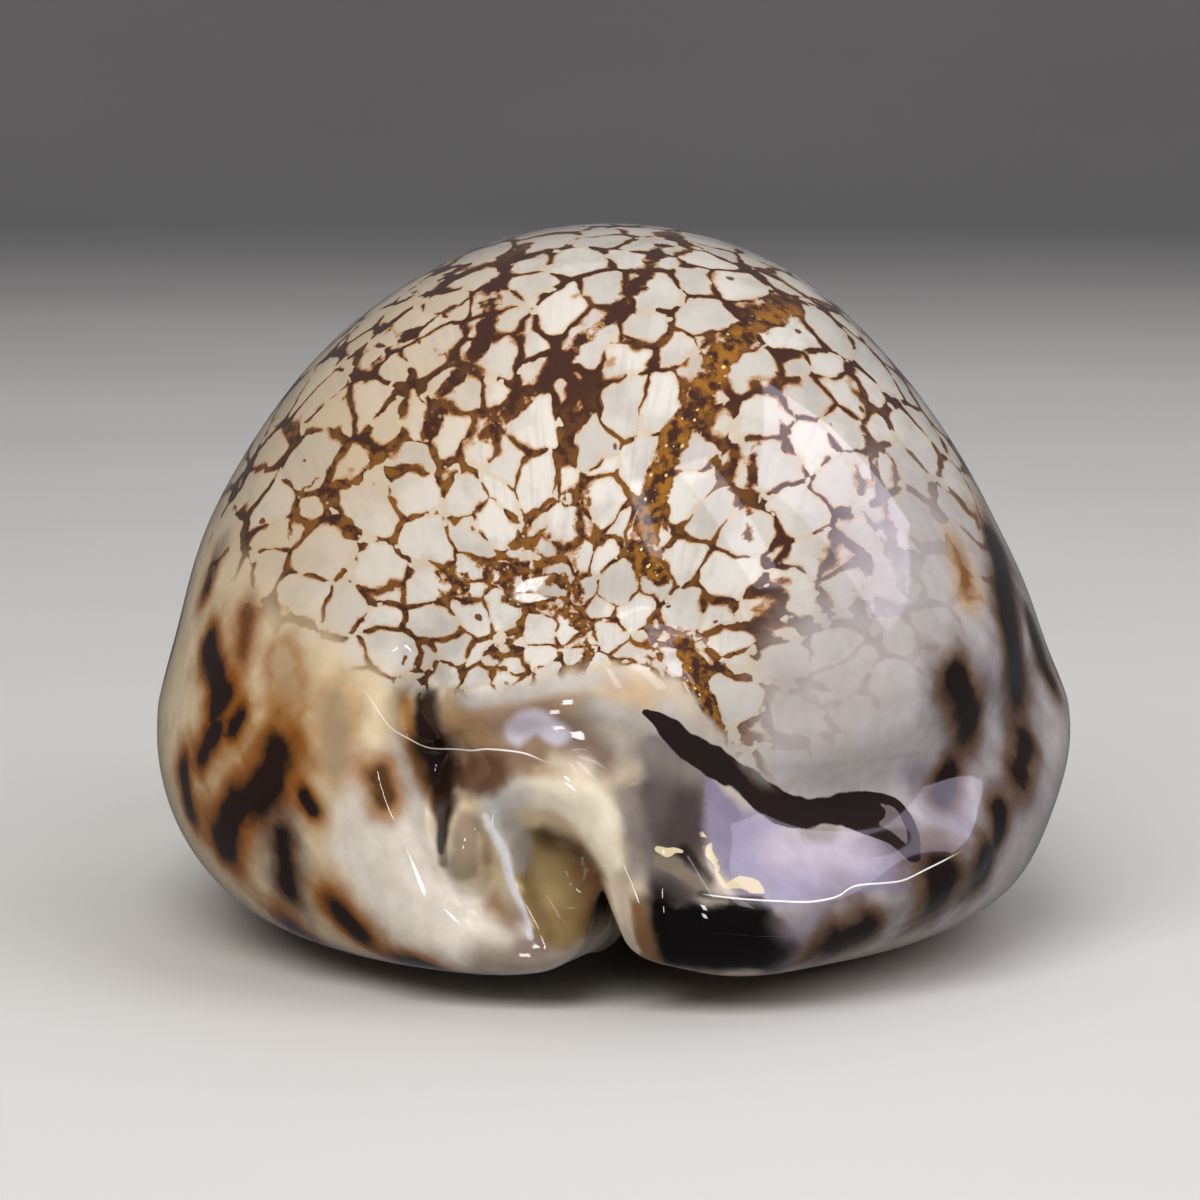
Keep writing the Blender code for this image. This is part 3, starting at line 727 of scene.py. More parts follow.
@dataclass
class ShellPaint:
    """Where each colour lies: the callus, its spots, the back end and the net's own changes."""

    form: ShellForm
    # The edge of the callus, right round the shell: above it the back shows its net.
    callus_edge: Rows = (
        (-19.5, 0.0, 18.6), (-18.5, -8.0, 18.8), (-16.0, -18.5, 17.6), (-13.0, -24.5, 16.0),
        (-11.0, -26.5, 14.8), (-9.0, -28.0, 13.6), (-7.0, -28.6, 13.4), (-5.0, -29.0, 13.4),
        (-3.5, -29.5, 14.1), (-0.5, -29.5, 14.5), (1.8, -29.5, 14.5), (3.2, -29.4, 13.6),
        (4.2, -29.3, 12.4), (4.9, -29.2, 11.5), (5.6, -29.0, 11.6), (7.0, -28.6, 13.0),
        (8.5, -28.0, 14.4), (10.0, -27.0, 15.6), (12.0, -25.5, 17.0), (13.5, -23.5, 18.2),
        (15.5, -18.0, 19.6), (17.0, -10.0, 20.2), (17.5, 0.0, 20.0), (15.5, 12.0, 18.6),
        (11.5, 20.0, 16.4), (6.0, 26.0, 14.2), (0.0, 28.6, 13.4), (-6.0, 26.0, 14.2),
        (-11.5, 20.0, 16.4), (-16.0, 12.0, 18.0), (-19.5, 0.0, 18.6),
    )
    spots: tuple[Spot, ...] = (
        Spot(0.7, ((-17.0, -15.2, 18.1), (-17.5, -15.5, 16.4))),
        Spot(0.95, ((-17.3, -18.3, 13.9), (-16.6, -20.6, 12.4))),
        Spot(0.8, ((-16.9, -20.9, 10.9), (-17.5, -20.2, 9.4))),
        Spot(0.6, ((-16.4, -20.9, 12.5), (-17.0, -20.6, 11.6))),
        Spot(0.55, ((-15.5, -22.4, 11.6), (-15.9, -22.0, 10.9))),
        Spot(0.5, ((-12.6, -25.4, 8.8), (-12.3, -25.6, 8.1)), strength=0.85),
        Spot(0.62, ((-15.4, -20.8, 15.8), (-15.8, -21.1, 14.3)), Tint.AMBER, shade(104, 66, 34), 0.95),
        Spot(0.7, ((-13.9, -23.3, 14.4), (-13.5, -24.7, 12.2)), Tint.AMBER, shade(184, 160, 128), 0.9),
        Spot(0.72, ((-11.6, -26.6, 13.0), (-11.5, -26.9, 11.4), (-11.3, -27.0, 10.2)), Tint.TAN,
            shade(168, 148, 122), 0.8),
        Spot(0.55, ((-9.6, -28.3, 9.9), (-9.4, -28.5, 9.2)), core=shade(84, 54, 28)),
        Spot(1.15, ((-14.2, -24.4, 10.4), (-14.7, -24.0, 8.9), (-16.1, -22.2, 7.1), (-16.6, -20.8, 5.9))),
        Spot(0.75, ((-13.7, -24.7, 6.9), (-13.8, -24.0, 5.3), (-13.5, -23.9, 4.3)), Tint.SMOKE),
        Spot(0.85, ((-11.3, -26.0, 4.0), (-10.6, -26.0, 3.0))),
        Spot(1.1, ((-13.6, -21.4, 2.1), (-13.0, -21.3, 1.8))),
        Spot(0.9, ((-8.6, -26.6, 1.9), (-7.7, -27.1, 1.8)), strength=0.85),
        Spot(0.85, ((-18.4, -18.3, 8.5), (-18.3, -18.3, 7.2))),
        Spot(1.1, ((14.5, -22.8, 13.5), (14.9, -22.5, 12.6), (15.3, -21.1, 11.2)), Tint.SMOKE),
        Spot(0.7, ((14.4, -22.2, 9.3), (13.9, -23.1, 8.6)), Tint.SMOKE),
        Spot(1.35, ((16.9, -12.7, 18.1), (17.1, -16.4, 15.9), (17.4, -17.4, 13.7), (17.7, -16.4, 11.9)),
            Tint.SMOKE),
        Spot(1.0, ((18.0, -17.3, 10.1), (18.3, -19.3, 8.8)), Tint.SMOKE),
        Spot(0.8, ((18.5, -13.1, 14.4), (19.5, -12.4, 11.8)), Tint.SMOKE),
        Spot(0.85, ((17.4, -21.6, 7.4), (17.5, -21.9, 6.5)), Tint.SMOKE),
        Spot(1.1, ((16.2, -23.3, 5.4), (15.9, -22.0, 4.5)), Tint.SMOKE),
        Spot(1.25, ((13.8, -25.7, 5.5), (13.7, -24.7, 4.1)), Tint.SMOKE),
        Spot(1.2, ((10.4, -28.2, 3.3), (9.3, -28.9, 2.9)), Tint.SMOKE),
        Spot(0.6, ((15.2, -18.1, 18.1), (15.3, -19.5, 16.8)), shade(190, 152, 100), shade(136, 88, 40),
            0.9),
        Spot(0.8, ((15.7, -11.3, 20.6), (15.8, -13.7, 19.7)), shade(196, 160, 110), shade(176, 136, 90),
            0.6),
        Spot(1.0, ((-9.4, 25.4, 9.4), (-9.9, 25.0, 8.4))),
        Spot(0.8, ((-5.4, 28.2, 10.4), (-5.8, 28.1, 9.7))),
        Spot(1.15, ((-6.2, 28.2, 5.6), (-7.2, 27.6, 5.0))),
        Spot(0.9, ((-2.6, 29.4, 7.6), (-2.7, 29.4, 7.0))),
        Spot(0.9, ((4.2, 28.9, 9.6), (4.6, 28.8, 8.8)), Tint.SMOKE),
        Spot(1.15, ((8.6, 26.4, 7.4), (9.2, 26.0, 6.4)), Tint.SMOKE),
        Spot(0.8, ((4.8, 28.7, 4.6), (5.6, 28.4, 4.3)), Tint.SMOKE),
        Spot(1.0, ((9.8, 24.8, 11.0), (10.4, 24.6, 10.1)), Tint.SMOKE),
    )
    back_end: tuple[Brush, ...] = (
        # The white shoulder left of the slit, and painted shade on the lobe below it.
        Brush(Tint.WHITE, 2.2, ((-9.2, 9.0), (-9.2, 6.9), (-8.5, 4.6), (-6.4, 3.1), (-2.9, 2.6)), 1.0,
            0.45),
        Brush(Tint.WHITE, 1.06, ((-7.7, 6.9), (-7.5, 5.3), (-6.1, 4.3)), 0.9, 0.7),
        # Painted shade on the lower lobe.
        Brush(Tint.LOBE_SHADE, 0.85, ((-5.2, 2.4), (-3.7, 2.6), (-2.1, 2.9), (-1.1, 3.5)), 0.8, 0.9),
        # The mound: tan at its left, brownish above, pearl grey at its right, orange at its top, with a
        # painted reflection of the lilac light on its upper face.
        Brush(Tint.MOUND, 1.8, ((-6.4, 11.6), (-4.5, 11.8), (-2.1, 12.0)), 1.0, 0.35),
        Brush(Tint.PEARL, 1.39, ((-0.4, 12.0), (1.2, 11.7)), 0.9, 0.5),
        Brush(Tint.TAN, 0.61, ((-6.4, 12.2), (-5.5, 11.8)), 0.75, 0.9),
        Brush(Tint.MOUND_DARK, 0.65, ((-2.9, 12.5), (-1.3, 12.0), (-0.3, 11.2)), 0.8, 0.9),
        Brush(Tint.MOUND_DARK, 0.37, ((-5.8, 10.9), (-3.7, 11.1), (-2.1, 11.1)), 0.5, 0.9),
        Brush(Tint.MIST, 0.37, ((-5.8, 13.3), (-3.7, 13.7), (-1.4, 14.2), (0.4, 14.2)), 0.9, 0.8),
        Brush(Tint.MIST, 0.37, ((-0.4, 13.2), (1.2, 12.5), (2.5, 11.6)), 0.7, 0.9),
        Brush(Tint.BLUSH, 0.45, ((0.0, 13.9), (0.9, 13.8), (1.4, 13.4)), 0.35, 0.9),
        # Painted reflection of the lilac light on the mound's upper face.
        Brush(Tint.LAVENDER_REFLECTION, 0.49, ((-3.9, 12.0), (-3.1, 12.5), (-2.2, 12.0)), 0.9, 0.5),
        # The glassy grey callus right of the arch, cloudier towards it.
        Brush(Tint.GREY_CALLUS, 1.6, ((1.7, 11.3), (2.3, 10.3), (2.3, 9.1), (2.3, 7.9), (2.6, 6.6),
            (2.7, 5.9)), 1.0, 0.4, (0.65, 1.25, 1.55, 1.6, 1.6, 1.2)),
        Brush(Tint.DUSK, 0.82, ((3.2, 9.4), (3.3, 8.1), (2.7, 7.9)), 0.85, 0.7),
        Brush(Tint.SMOKE_GREY, 0.73, ((1.2, 11.4), (2.3, 11.0), (3.4, 10.5)), 0.7, 0.9),
        Brush(Tint.SMOKE_GREY, 0.5, ((0.6, 9.6), (0.9, 8.0), (1.0, 6.4)), 0.8, 0.9),
        Brush(Tint.SMOKE_GREY, 0.4, ((1.6, 6.9), (3.0, 6.3), (4.2, 5.8)), 0.3, 0.9),
        # The plateau below the valley, painted lilac as a reflection of the lilac light, and the veil
        # above it, cool cream painted as the same reflection.
        Brush(Tint.LILAC_AND_REFLECTION, 1.47, ((4.0, 10.0), (4.3, 9.1), (4.8, 8.1), (5.5, 7.3), (6.7, 6.4), (8.4, 5.9),
            (10.3, 6.0), (12.2, 5.9), (13.8, 6.2)), 1.0, 0.3, (0.16, 0.49, 0.98, 1.47, 1.47, 1.22, 1.14,
            0.9, 0.49)),
        # Painted reflection: the palest lilac on the plateau.
        Brush(Tint.LILAC_REFLECTION, 0.7, ((6.8, 7.0), (8.6, 6.6), (10.4, 6.4)), 0.6, 0.9),
        Brush(Tint.COOL_CREAM_AND_SHEEN, 1.71, ((6.6, 11.2), (8.7, 10.7), (11.7, 10.5), (13.2, 10.8)), 0.8, 0.6),
        Brush(Tint.MIST, 0.57, ((9.7, 11.5), (10.0, 10.1)), 0.5, 0.9),
        Brush(Tint.LILAC_AND_REFLECTION, 0.61, ((12.8, 9.3), (14.3, 7.7), (14.8, 7.0)), 0.6, 0.9),
        # The dark valley, torn where it turns: near-black painted shade where it faces away from the
        # lights.
        Brush(Tint.MIST, 0.29, ((2.2, 13.1), (2.8, 12.4), (3.6, 11.7)), 0.8, 0.6),
        Brush(Tint.VALLEY_SHADE, 0.94, ((1.4, 12.9), (2.0, 12.5), (2.8, 11.7), (3.6, 11.0), (4.6, 10.4),
            (5.6, 9.7), (6.4, 8.9), (7.3, 8.3), (8.1, 8.1), (8.9, 8.2), (9.8, 8.3), (10.6, 8.2),
            (11.2, 7.9)), 1.0, 0.18, (0.16, 0.33, 0.45, 0.53, 0.57, 0.57, 0.62, 0.66, 0.62, 0.66, 0.72,
            0.6, 0.3), Layer.DARK),
        Brush(Tint.VALLEY_SHADE, 0.4, ((10.4, 8.6), (11.3, 8.5), (12.0, 8.2), (12.5, 7.5), (12.7, 6.7),
            (12.8, 6.1)), 1.0, 0.18, (0.3, 0.2, 0.17, 0.2, 0.24, 0.14), Layer.DARK),
        Brush(Tint.VALLEY_SHADE, 0.4, ((9.9, 7.8), (11.0, 7.3), (11.8, 6.9), (12.6, 6.2)), 1.0, 0.18, (0.35,
            0.24, 0.18, 0.2), Layer.DARK),
        Brush(Tint.CHIP_GREY, 0.38, ((8.1, 7.5), (8.6, 7.4), (9.1, 7.4)), 0.7, 0.6),
        Brush(Tint.SMOKE, 0.6, ((11.1, 7.9), (11.7, 7.7), (12.2, 7.2)), 0.95, 0.6),
        # The near-black prong, with its brown edge.
        Brush(Tint.PRONG, 1.0, ((2.1, 5.0), (2.1, 4.1), (2.4, 3.1)), 1.0, 0.9),
        Brush(Tint.PRONG, 1.1, ((2.0, 5.0), (2.5, 4.4), (3.6, 4.25), (5.3, 4.1), (6.3, 3.8), (7.1, 3.2)),
            1.0, 0.25, (0.3, 0.8, 1.0, 1.1, 0.98, 0.7)),
        Brush(Tint.PRONG, 0.82, ((2.5, 3.4), (3.4, 2.9), (5.3, 2.8), (6.9, 2.5)), 1.0, 0.45, (0.57, 0.82,
            0.82, 0.6)),
        Brush(Tint.BARK, 0.3, ((1.1, 5.0), (1.25, 4.2), (1.45, 3.3), (1.7, 2.5)), 0.9, 0.9),
        Brush(Tint.SMOKE, 0.65, ((7.3, 4.2), (8.4, 4.5)), 0.7, 0.8),
        Brush(Tint.LILAC_AND_REFLECTION, 0.49, ((7.7, 4.0), (8.7, 4.3)), 0.5, 0.9),
        # Broken chips of callus above it.
        # Painted shade between the chips.
        Brush(Tint.VALLEY_SHADE, 0.29, ((3.0, 7.2), (3.6, 6.6), (4.0, 6.1)), 0.85, 0.5),
        Brush(Tint.CHIP_GREY, 0.29, ((2.0, 6.8), (2.7, 6.6)), 0.9, 0.35),
        Brush(Tint.CHIP, 0.16, ((1.9, 7.3), (2.3, 7.15), (2.6, 7.25), (2.9, 7.2)), radii=(0.1, 0.15, 0.1,
            0.06), layer=Layer.CHIP),
        Brush(Tint.CHIP_GREY, 0.3, ((2.4, 6.6), (3.2, 6.2), (3.8, 5.9)), 0.9, 0.5, (0.14, 0.28, 0.3)),
        Brush(Tint.CHIP, 0.2, ((4.1, 7.6), (4.0, 7.1), (4.3, 6.7), (4.35, 6.3), (4.6, 5.9)), radii=(0.05,
            0.16, 0.14, 0.1, 0.14), layer=Layer.CHIP),
        Brush(Tint.CHIP, 0.3, ((4.7, 5.85), (5.3, 5.95), (5.9, 5.75), (6.3, 5.5)), radii=(0.12, 0.22,
            0.26, 0.08), layer=Layer.CHIP),
        Brush(Tint.CHIP, 0.12, ((3.55, 8.1), (3.75, 7.8), (3.95, 7.6)), radii=(0.04, 0.08, 0.04),
            layer=Layer.CHIP),
        # Painted shade along the crease below the chips.
        Brush(Tint.VALLEY_SHADE, 0.12, ((3.6, 5.6), (4.8, 5.4), (6.2, 5.3)), 0.8, 0.5),
        # The arch over the canal and its right leg.
        Brush(Tint.ARCH, 0.9, ((-4.6, 9.0), (-3.9, 9.5), (-2.9, 9.6), (-2.1, 9.6), (-1.3, 9.3),
            (-0.6, 8.5), (-0.2, 7.4), (0.1, 6.5), (0.3, 5.6), (0.5, 4.6), (0.7, 3.5), (1.0, 3.0)), 1.0,
            0.45, (0.24, 0.49, 0.78, 0.9, 0.9, 0.82, 0.65, 0.49, 0.37, 0.29, 0.24, 0.2)),
        Brush(Tint.BARK, 0.3, ((0.4, 6.3), (0.6, 4.9), (0.8, 3.9), (1.05, 3.0)), 0.45, 0.9),
        Brush(Tint.HAZE, 0.65, ((-4.7, 9.2), (-3.9, 9.5)), 0.85, 0.8),
        Brush(Tint.ARCH, 0.37, ((-2.3, 11.0), (-1.1, 10.7)), 0.5, 0.9),
        # The olive-brown hollow under it, with painted shadow under the arch and a painted highlight
        # where its bulge faces the light.
        Brush(Tint.OLIVE, 1.3, ((-2.9, 6.5), (-2.6, 5.3), (-2.2, 4.5)), 1.0, 0.2),
        Brush(Tint.OLIVE, 0.82, ((-1.7, 6.5), (-1.1, 5.3), (-1.4, 4.1)), 1.0, 0.25),
        Brush(Tint.OLIVE, 0.49, ((-1.8, 3.5), (-1.5, 3.7)), 0.9, 0.5),
        # Painted shadow under the arch.
        Brush(Tint.OLIVE_SHADE, 0.45, ((-2.6, 7.6), (-1.5, 7.2), (-0.7, 6.1)), 0.9, 0.8),
        Brush(Tint.BARK, 0.49, ((-1.0, 6.1), (-0.8, 5.0), (-0.9, 4.0)), 0.7, 0.9),
        # Painted highlight where the bulge faces the light.
        Brush(Tint.OLIVE_LIT, 0.53, ((-2.6, 6.1), (-2.3, 5.1)), 0.6, 0.95),
        # Faint painted shade in the crease beside the fold.
        Brush(Tint.OLIVE_SHADE, 0.25, ((-3.6, 7.0), (-3.3, 5.6), (-2.9, 4.4), (-2.5, 3.6)), 0.3, 0.9),
        # The thin fold left of the hollow.
        Brush(Tint.HAZE, 0.49, ((-4.9, 8.7), (-4.5, 7.9)), 0.8, 0.8),
        Brush(Tint.HAZE, 0.5, ((-4.3, 8.6), (-4.0, 7.6), (-3.9, 6.6)), 0.6, 0.9),
        Brush(Tint.FOLD, 0.22, ((-5.15, 8.5), (-4.9, 7.9), (-4.4, 7.0), (-4.1, 5.7), (-3.65, 4.6),
            (-3.3, 3.5)), 1.0, 0.45, (0.12, 0.2, 0.2, 0.19, 0.18, 0.13)),
        # The brown hollow above the knob, the knob, and the brown stain below.
        Brush(Tint.CLAY, 0.73, ((-6.8, 9.8), (-5.7, 10.0), (-4.9, 10.4)), 0.95, 0.5),
        Brush(Tint.KNOB, 0.65, ((-5.9, 7.9), (-6.0, 7.0), (-6.1, 6.3)), 0.9, 0.4),
        Brush(Tint.KNOB_DARK, 0.2, ((-6.7, 8.5), (-6.9, 7.6), (-6.9, 6.4)), 0.8, 0.6),
        Brush(Tint.BARK, 0.24, ((-5.1, 7.7), (-5.1, 6.6)), 0.5, 0.9),
        Brush(Tint.BARK, 0.57, ((-4.8, 4.7), (-4.1, 4.2)), 0.8, 0.7),
        Brush(Tint.PLUM, 0.33, ((-3.7, 3.1), (-3.0, 3.1)), 0.6, 0.8),
        # The pit, nearly black, with its golden edge.
        Brush(Tint.HALO, 0.4, ((-8.5, 13.3), (-8.4, 12.1), (-8.1, 11.1), (-7.9, 10.0), (-7.5, 9.1),
            (-7.15, 8.3)), 0.95, 0.9, (0.3, 0.4, 0.4, 0.36, 0.28, 0.18)),
        Brush(Tint.PIT, 0.85, ((-7.75, 13.4), (-7.6, 12.0), (-7.2, 10.6), (-6.98, 9.5), (-6.95, 8.2),
            (-7.0, 6.9)), 1.0, 0.5, (0.45, 0.66, 0.84, 0.72, 0.38, 0.14)),
        Brush(Tint.PIT, 0.45, ((-7.1, 10.4), (-6.6, 10.1)), 0.7, 0.7),
    )
    # How the net changes over the back. A brush's colour says how thick and how golden its lines are.
    ribbons: tuple[Brush, ...] = (
        Brush((1.0, 0.0, 0.0), 0.6, ((-4.0, -7.1, 30.8), (-5.0, -13.7, 29.2), (-5.5, -18.0, 27.5),
            (-6.0, -19.5, 26.5), (-7.0, -21.0, 25.0), (-8.0, -22.5, 24.0))),
        Brush((1.0, 0.0, 0.0), 0.45, ((-5.0, -13.7, 29.2), (-7.9, -14.4, 27.9), (-9.8, -15.4, 26.5),
            (-11.6, -16.4, 24.7)), 0.9),
        Brush((1.0, 0.0, 0.0), 0.55, ((2.4, -8.7, 30.9), (1.7, -13.1, 30.0), (0.4, -17.3, 28.5),
            (-1.3, -19.7, 27.2), (-3.0, -21.4, 25.8), (-5.5, -23.4, 23.4)), 0.95),
        Brush((1.0, 0.2, 0.0), 0.42, ((4.1, -18.7, 27.2), (6.0, -15.7, 28.1), (8.1, -10.9, 28.6),
            (10.3, -6.1, 27.8)), 0.9),
        Brush((1.0, 0.0, 0.0), 0.3, ((-12.0, -20.1, 21.9), (-13.3, -19.9, 20.6), (-13.6, -21.0, 19.0)),
            0.85),
        Brush((1.0, 0.2, 0.0), 0.34, ((-4.6, -27.4, 17.2), (-2.1, -27.7, 16.8), (-0.9, -28.7, 15.7),
            (-1.3, -30.1, 14.2)), 0.9),
        Brush((1.0, 1.0, 0.0), 0.7, ((8.0, -12.5, 28.5), (5.5, -18.0, 27.5), (4.0, -21.5, 26.0),
            (3.5, -23.0, 25.0), (2.5, -25.0, 23.5), (2.0, -26.5, 21.5), (1.5, -28.0, 19.5),
            (2.0, -28.5, 18.5))),
        Brush((1.0, 0.0, 0.0), 0.38, ((-10.5, -11.0, 27.5), (-7.5, -17.5, 27.0), (-5.5, -20.0, 26.5)),
            0.8),
        Brush((1.0, 0.1, 0.0), 0.45, ((11.1, -18.7, 23.0), (11.5, -20.6, 21.1), (11.8, -22.1, 19.1),
            (12.3, -23.3, 16.9)), 0.95),
        Brush((1.0, 0.5, 0.0), 0.42, ((-1.0, -26.5, 22.0), (-1.5, -27.5, 20.0), (-1.5, -28.5, 18.0),
            (-1.0, -29.5, 16.0)), 0.8),
        Brush((1.0, 1.0, 0.0), 0.54, ((3.0, -29.0, 16.5), (4.0, -29.5, 14.0), (5.0, -29.5, 12.5),
            (5.0, -29.5, 11.5))),
        Brush((1.0, 0.0, 0.0), 0.36, ((6.5, -23.0, 24.0), (6.0, -25.0, 22.0), (6.0, -26.5, 20.0)), 0.8),
        Brush((1.0, 0.2, 0.0), 0.36, ((7.5, -19.0, 26.0), (7.5, -23.0, 23.5)), 0.8),
        Brush((1.0, 0.0, 0.0), 0.36, ((-5.5, -27.5, 19.0), (-3.5, -28.0, 18.5), (-2.0, -28.5, 18.0)),
            0.9),
        Brush((1.0, 0.0, 0.0), 0.22, ((-7.6, -27.5, 18.6), (-7.3, -27.9, 17.4))),
        Brush((1.0, 0.0, 0.0), 0.22, ((-6.8, -27.7, 18.9), (-6.7, -28.0, 17.6))),
        Brush((1.0, 0.0, 0.0), 0.26, ((-6.0, -27.8, 18.6), (-6.0, -28.2, 17.2))),
        Brush((1.0, 0.0, 0.0), 0.22, ((-5.2, -27.8, 19.0), (-5.3, -28.2, 17.6))),
        Brush((1.0, 0.0, 0.0), 0.22, ((-4.4, -28.0, 18.9), (-4.5, -28.3, 17.8))),
        Brush((0.0, 1.0, 0.0), 3.4, ((2.0, -25.0, 22.0), (0.0, -27.0, 20.5), (1.0, -29.0, 17.5),
            (4.5, -29.5, 14.0)), 0.6, 0.9),
        Brush((0.0, 1.0, 0.0), 5.0, ((-11.0, -22.0, 21.0), (-6.0, -26.0, 19.5), (-3.0, -27.5, 18.0)),
            0.65, 0.9),
    )
    # Painted highlights: thin bright lines where ridges of the back end catch the light, each a row of x
    # and z.
    glint_lines: tuple[Rows, ...] = (
        ((3.6, 5.6), (5.3, 5.35), (6.7, 5.16), (8.0, 5.0), (8.8, 5.0), (9.4, 5.08), (9.9, 5.32),
         (10.4, 5.38), (11.4, 5.35), (12.2, 5.38), (13.1, 5.68), (14.0, 5.98), (14.9, 6.3)),
        ((-10.4, 13.6), (-9.9, 12.98), (-9.5, 12.39), (-9.0, 11.74), (-8.2, 11.22), (-7.5, 10.93),
         (-6.7, 10.9), (-5.8, 11.0), (-5.1, 11.2), (-4.1, 11.25), (-3.3, 11.18), (-2.4, 10.86)),
    )
    mantle_line: Rows = (
        (-1.0, -29.5, 15.0), (-0.5, -29.0, 16.5), (0.0, -28.0, 19.0), (0.8, -27.0, 21.5),
        (1.2, -25.0, 23.0), (2.0, -22.5, 25.5), (3.0, -19.0, 27.5), (4.0, -12.0, 30.0),
        (4.4, -4.0, 31.2), (4.2, 6.0, 31.0), (3.4, 15.0, 28.0), (2.0, 22.0, 22.0), (0.6, 27.0, 15.0),
    )
    narrowest: float = 6.0
    seed: int = 11

    def __post_init__(self) -> None:
        """Puts together the listed spots and those along the flanks."""
        self.all_spots: tuple[Spot, ...] = (*self.spots, *self.flank_spots())

    @staticmethod
    def wobble(points: Array, size: float) -> Array:
        """A gentle, even unevenness over the surface, from about -1 to 1."""
        x, y, z = (points / size).T
        one = np.sin(1.7 * x + 2.1 * np.sin(1.3 * y)) * np.cos(1.9 * z + 1.1 * np.sin(1.6 * x + 0.7))
        two = np.sin(3.1 * y + 1.7 * np.sin(2.3 * z + 0.4)) * np.cos(2.7 * x + 1.9 * z)
        return 0.6 * one + 0.4 * two

    def unevenness(self, points: Array) -> Array:
        """The unevenness of every mark's edge: a coarse one with a finer one on it."""
        return self.wobble(points, 1.5) + 0.45 * self.wobble(points, 0.5)

    @staticmethod
    def reach(points: Array, brush: Brush, wobble: Array) -> tuple[Array, Array]:
        """How far each point is from a brush's line.

        Args:
            points: the surface's points.
            brush: the touch of colour.
            wobble: an unevenness for its edge.

        Returns:
            The indices of the points near it, and their distance from the line as a share of its radius.
        """
        radii = brush.radii or (brush.radius,) * len(brush.points)
        rows = tuple((*point, radius) for point, radius in zip(brush.points, radii, strict=True))
        path = smooth_rows(rows, 5)
        behind = path.shape[1] == 3
        spread = points[:, (0, 2)] if behind else points
        reach = brush.radius * (1.4 + brush.softness) + 0.4
        low, high = path[:, :-1].min(axis=0) - reach, path[:, :-1].max(axis=0) + reach
        within = ((spread > low) & (spread < high)).all(axis=1)
        near = np.flatnonzero(within & (points[:, 1] < -15) if behind else within)
        away, rows = near_path(spread[near], path)
        radius = np.maximum(rows[:, -2], 0.02)
        return near, away / radius + wobble[near] * EDGE_WOBBLE

    def touch(self, points: Array, brush: Brush, wobble: Array) -> tuple[Array, Array]:
        """Which points a soft brush reaches, and how strongly, from 0 to 1."""
        near, share = self.reach(points, brush, wobble)
        return near, brush.strength * soft_step(1 + brush.softness, 1 - brush.softness, share)

    @staticmethod
    def settle(points: Array, rows: Rows) -> Rows:
        """Moves a line's points onto the nearest points of the surface."""
        return tuple(tuple(points[((points - row) ** 2).sum(axis=1).argmin()]) for row in np.array(rows))

    def above_callus(self, points: Array) -> Array:
        """How far above the callus's edge each point is, in millimetres."""
        path = smooth_rows(self.callus_edge, 5)
        _, rows = near_path(points[:, :2], path)
        return points[:, 2] - rows[:, 2]

    def flank_spots(self) -> list[Spot]:
        """The spots along both flanks that the listed ones don't reach."""
        draw = np.random.default_rng(self.seed)
        spots = []
        for side, start in ((-1, -10.5), (1, -8.0)):
            for row, level in enumerate((4.4, 8.4, 12.4, 16.2)):
                for station in np.arange(start + 2.1 * (row % 2), 24.5, 4.2):
                    y, z = station + draw.uniform(-1.4, 1.4), level + draw.uniform(-1.4, 1.4)
                    z -= 0.2 * max(y - 12, 0) + 0.006 * (y + 4) ** 2 * (row > 1)
                    radius, tall = draw.uniform(0.6, 1.45), draw.uniform(0.0, 1.1)
                    slant, bend = draw.uniform(-0.8, 0.8), draw.uniform(-0.6, 0.6)
                    faint = draw.random() < 0.1 + 0.08 * row
                    rows = [(y + slant * k + bend * (1 - k * k), z - tall * k) for k in (-1, 0, 1)]
                    widths = [self.flank(*row) for row in rows]
                    if min(widths) < self.narrowest:
                        continue
                    line = tuple((side * width, *row) for width, row in zip(widths, rows, strict=True))
                    halo = (Tint.HALO, Tint.SMOKE)[int(draw.random() < (0.25 if side < 0 else 0.6))]
                    core = Tint.FAINT if faint else Tint.SPOT
                    radius *= 0.7 if faint else 1.0
                    spots.append(Spot(radius, line, halo, core, 0.75 if faint else 0.95))
        return spots

    def flank(self, y: float, z: float) -> float:
        """The half-width of the plain body at a height beside the shell."""
        tries = np.linspace(0, self.form.width, 160)
        points = np.stack([tries, np.full_like(tries, y), np.full_like(tries, z)], axis=1)
        return float(tries[self.form.inside(points)].max(initial=0.0))

    def callus_colour(self, points: Array, plain: Array) -> Array:
        """The callus, its spots and the back end, with how far it covers the net as a fourth column.

        Args:
            points: the surface's points in body millimetres.
            plain: the plain body's point for each.

        Returns:
            Red, green, blue and cover for each point.
        """
        uneven = self.unevenness(points)
        rgb = np.tile(np.array(Tint.WARM_CREAM), (len(points), 1))
        # The callus's own cool cream, more of it towards +X and the back.
        cool = soft_step(-2.0, 9.0, points[:, 0]) * (0.35 + 0.65 * soft_step(-2.0, -16.0, points[:, 1]))
        self.lay(rgb, np.arange(len(points)), cool, Tint.COOL_CREAM_AND_SHEEN)
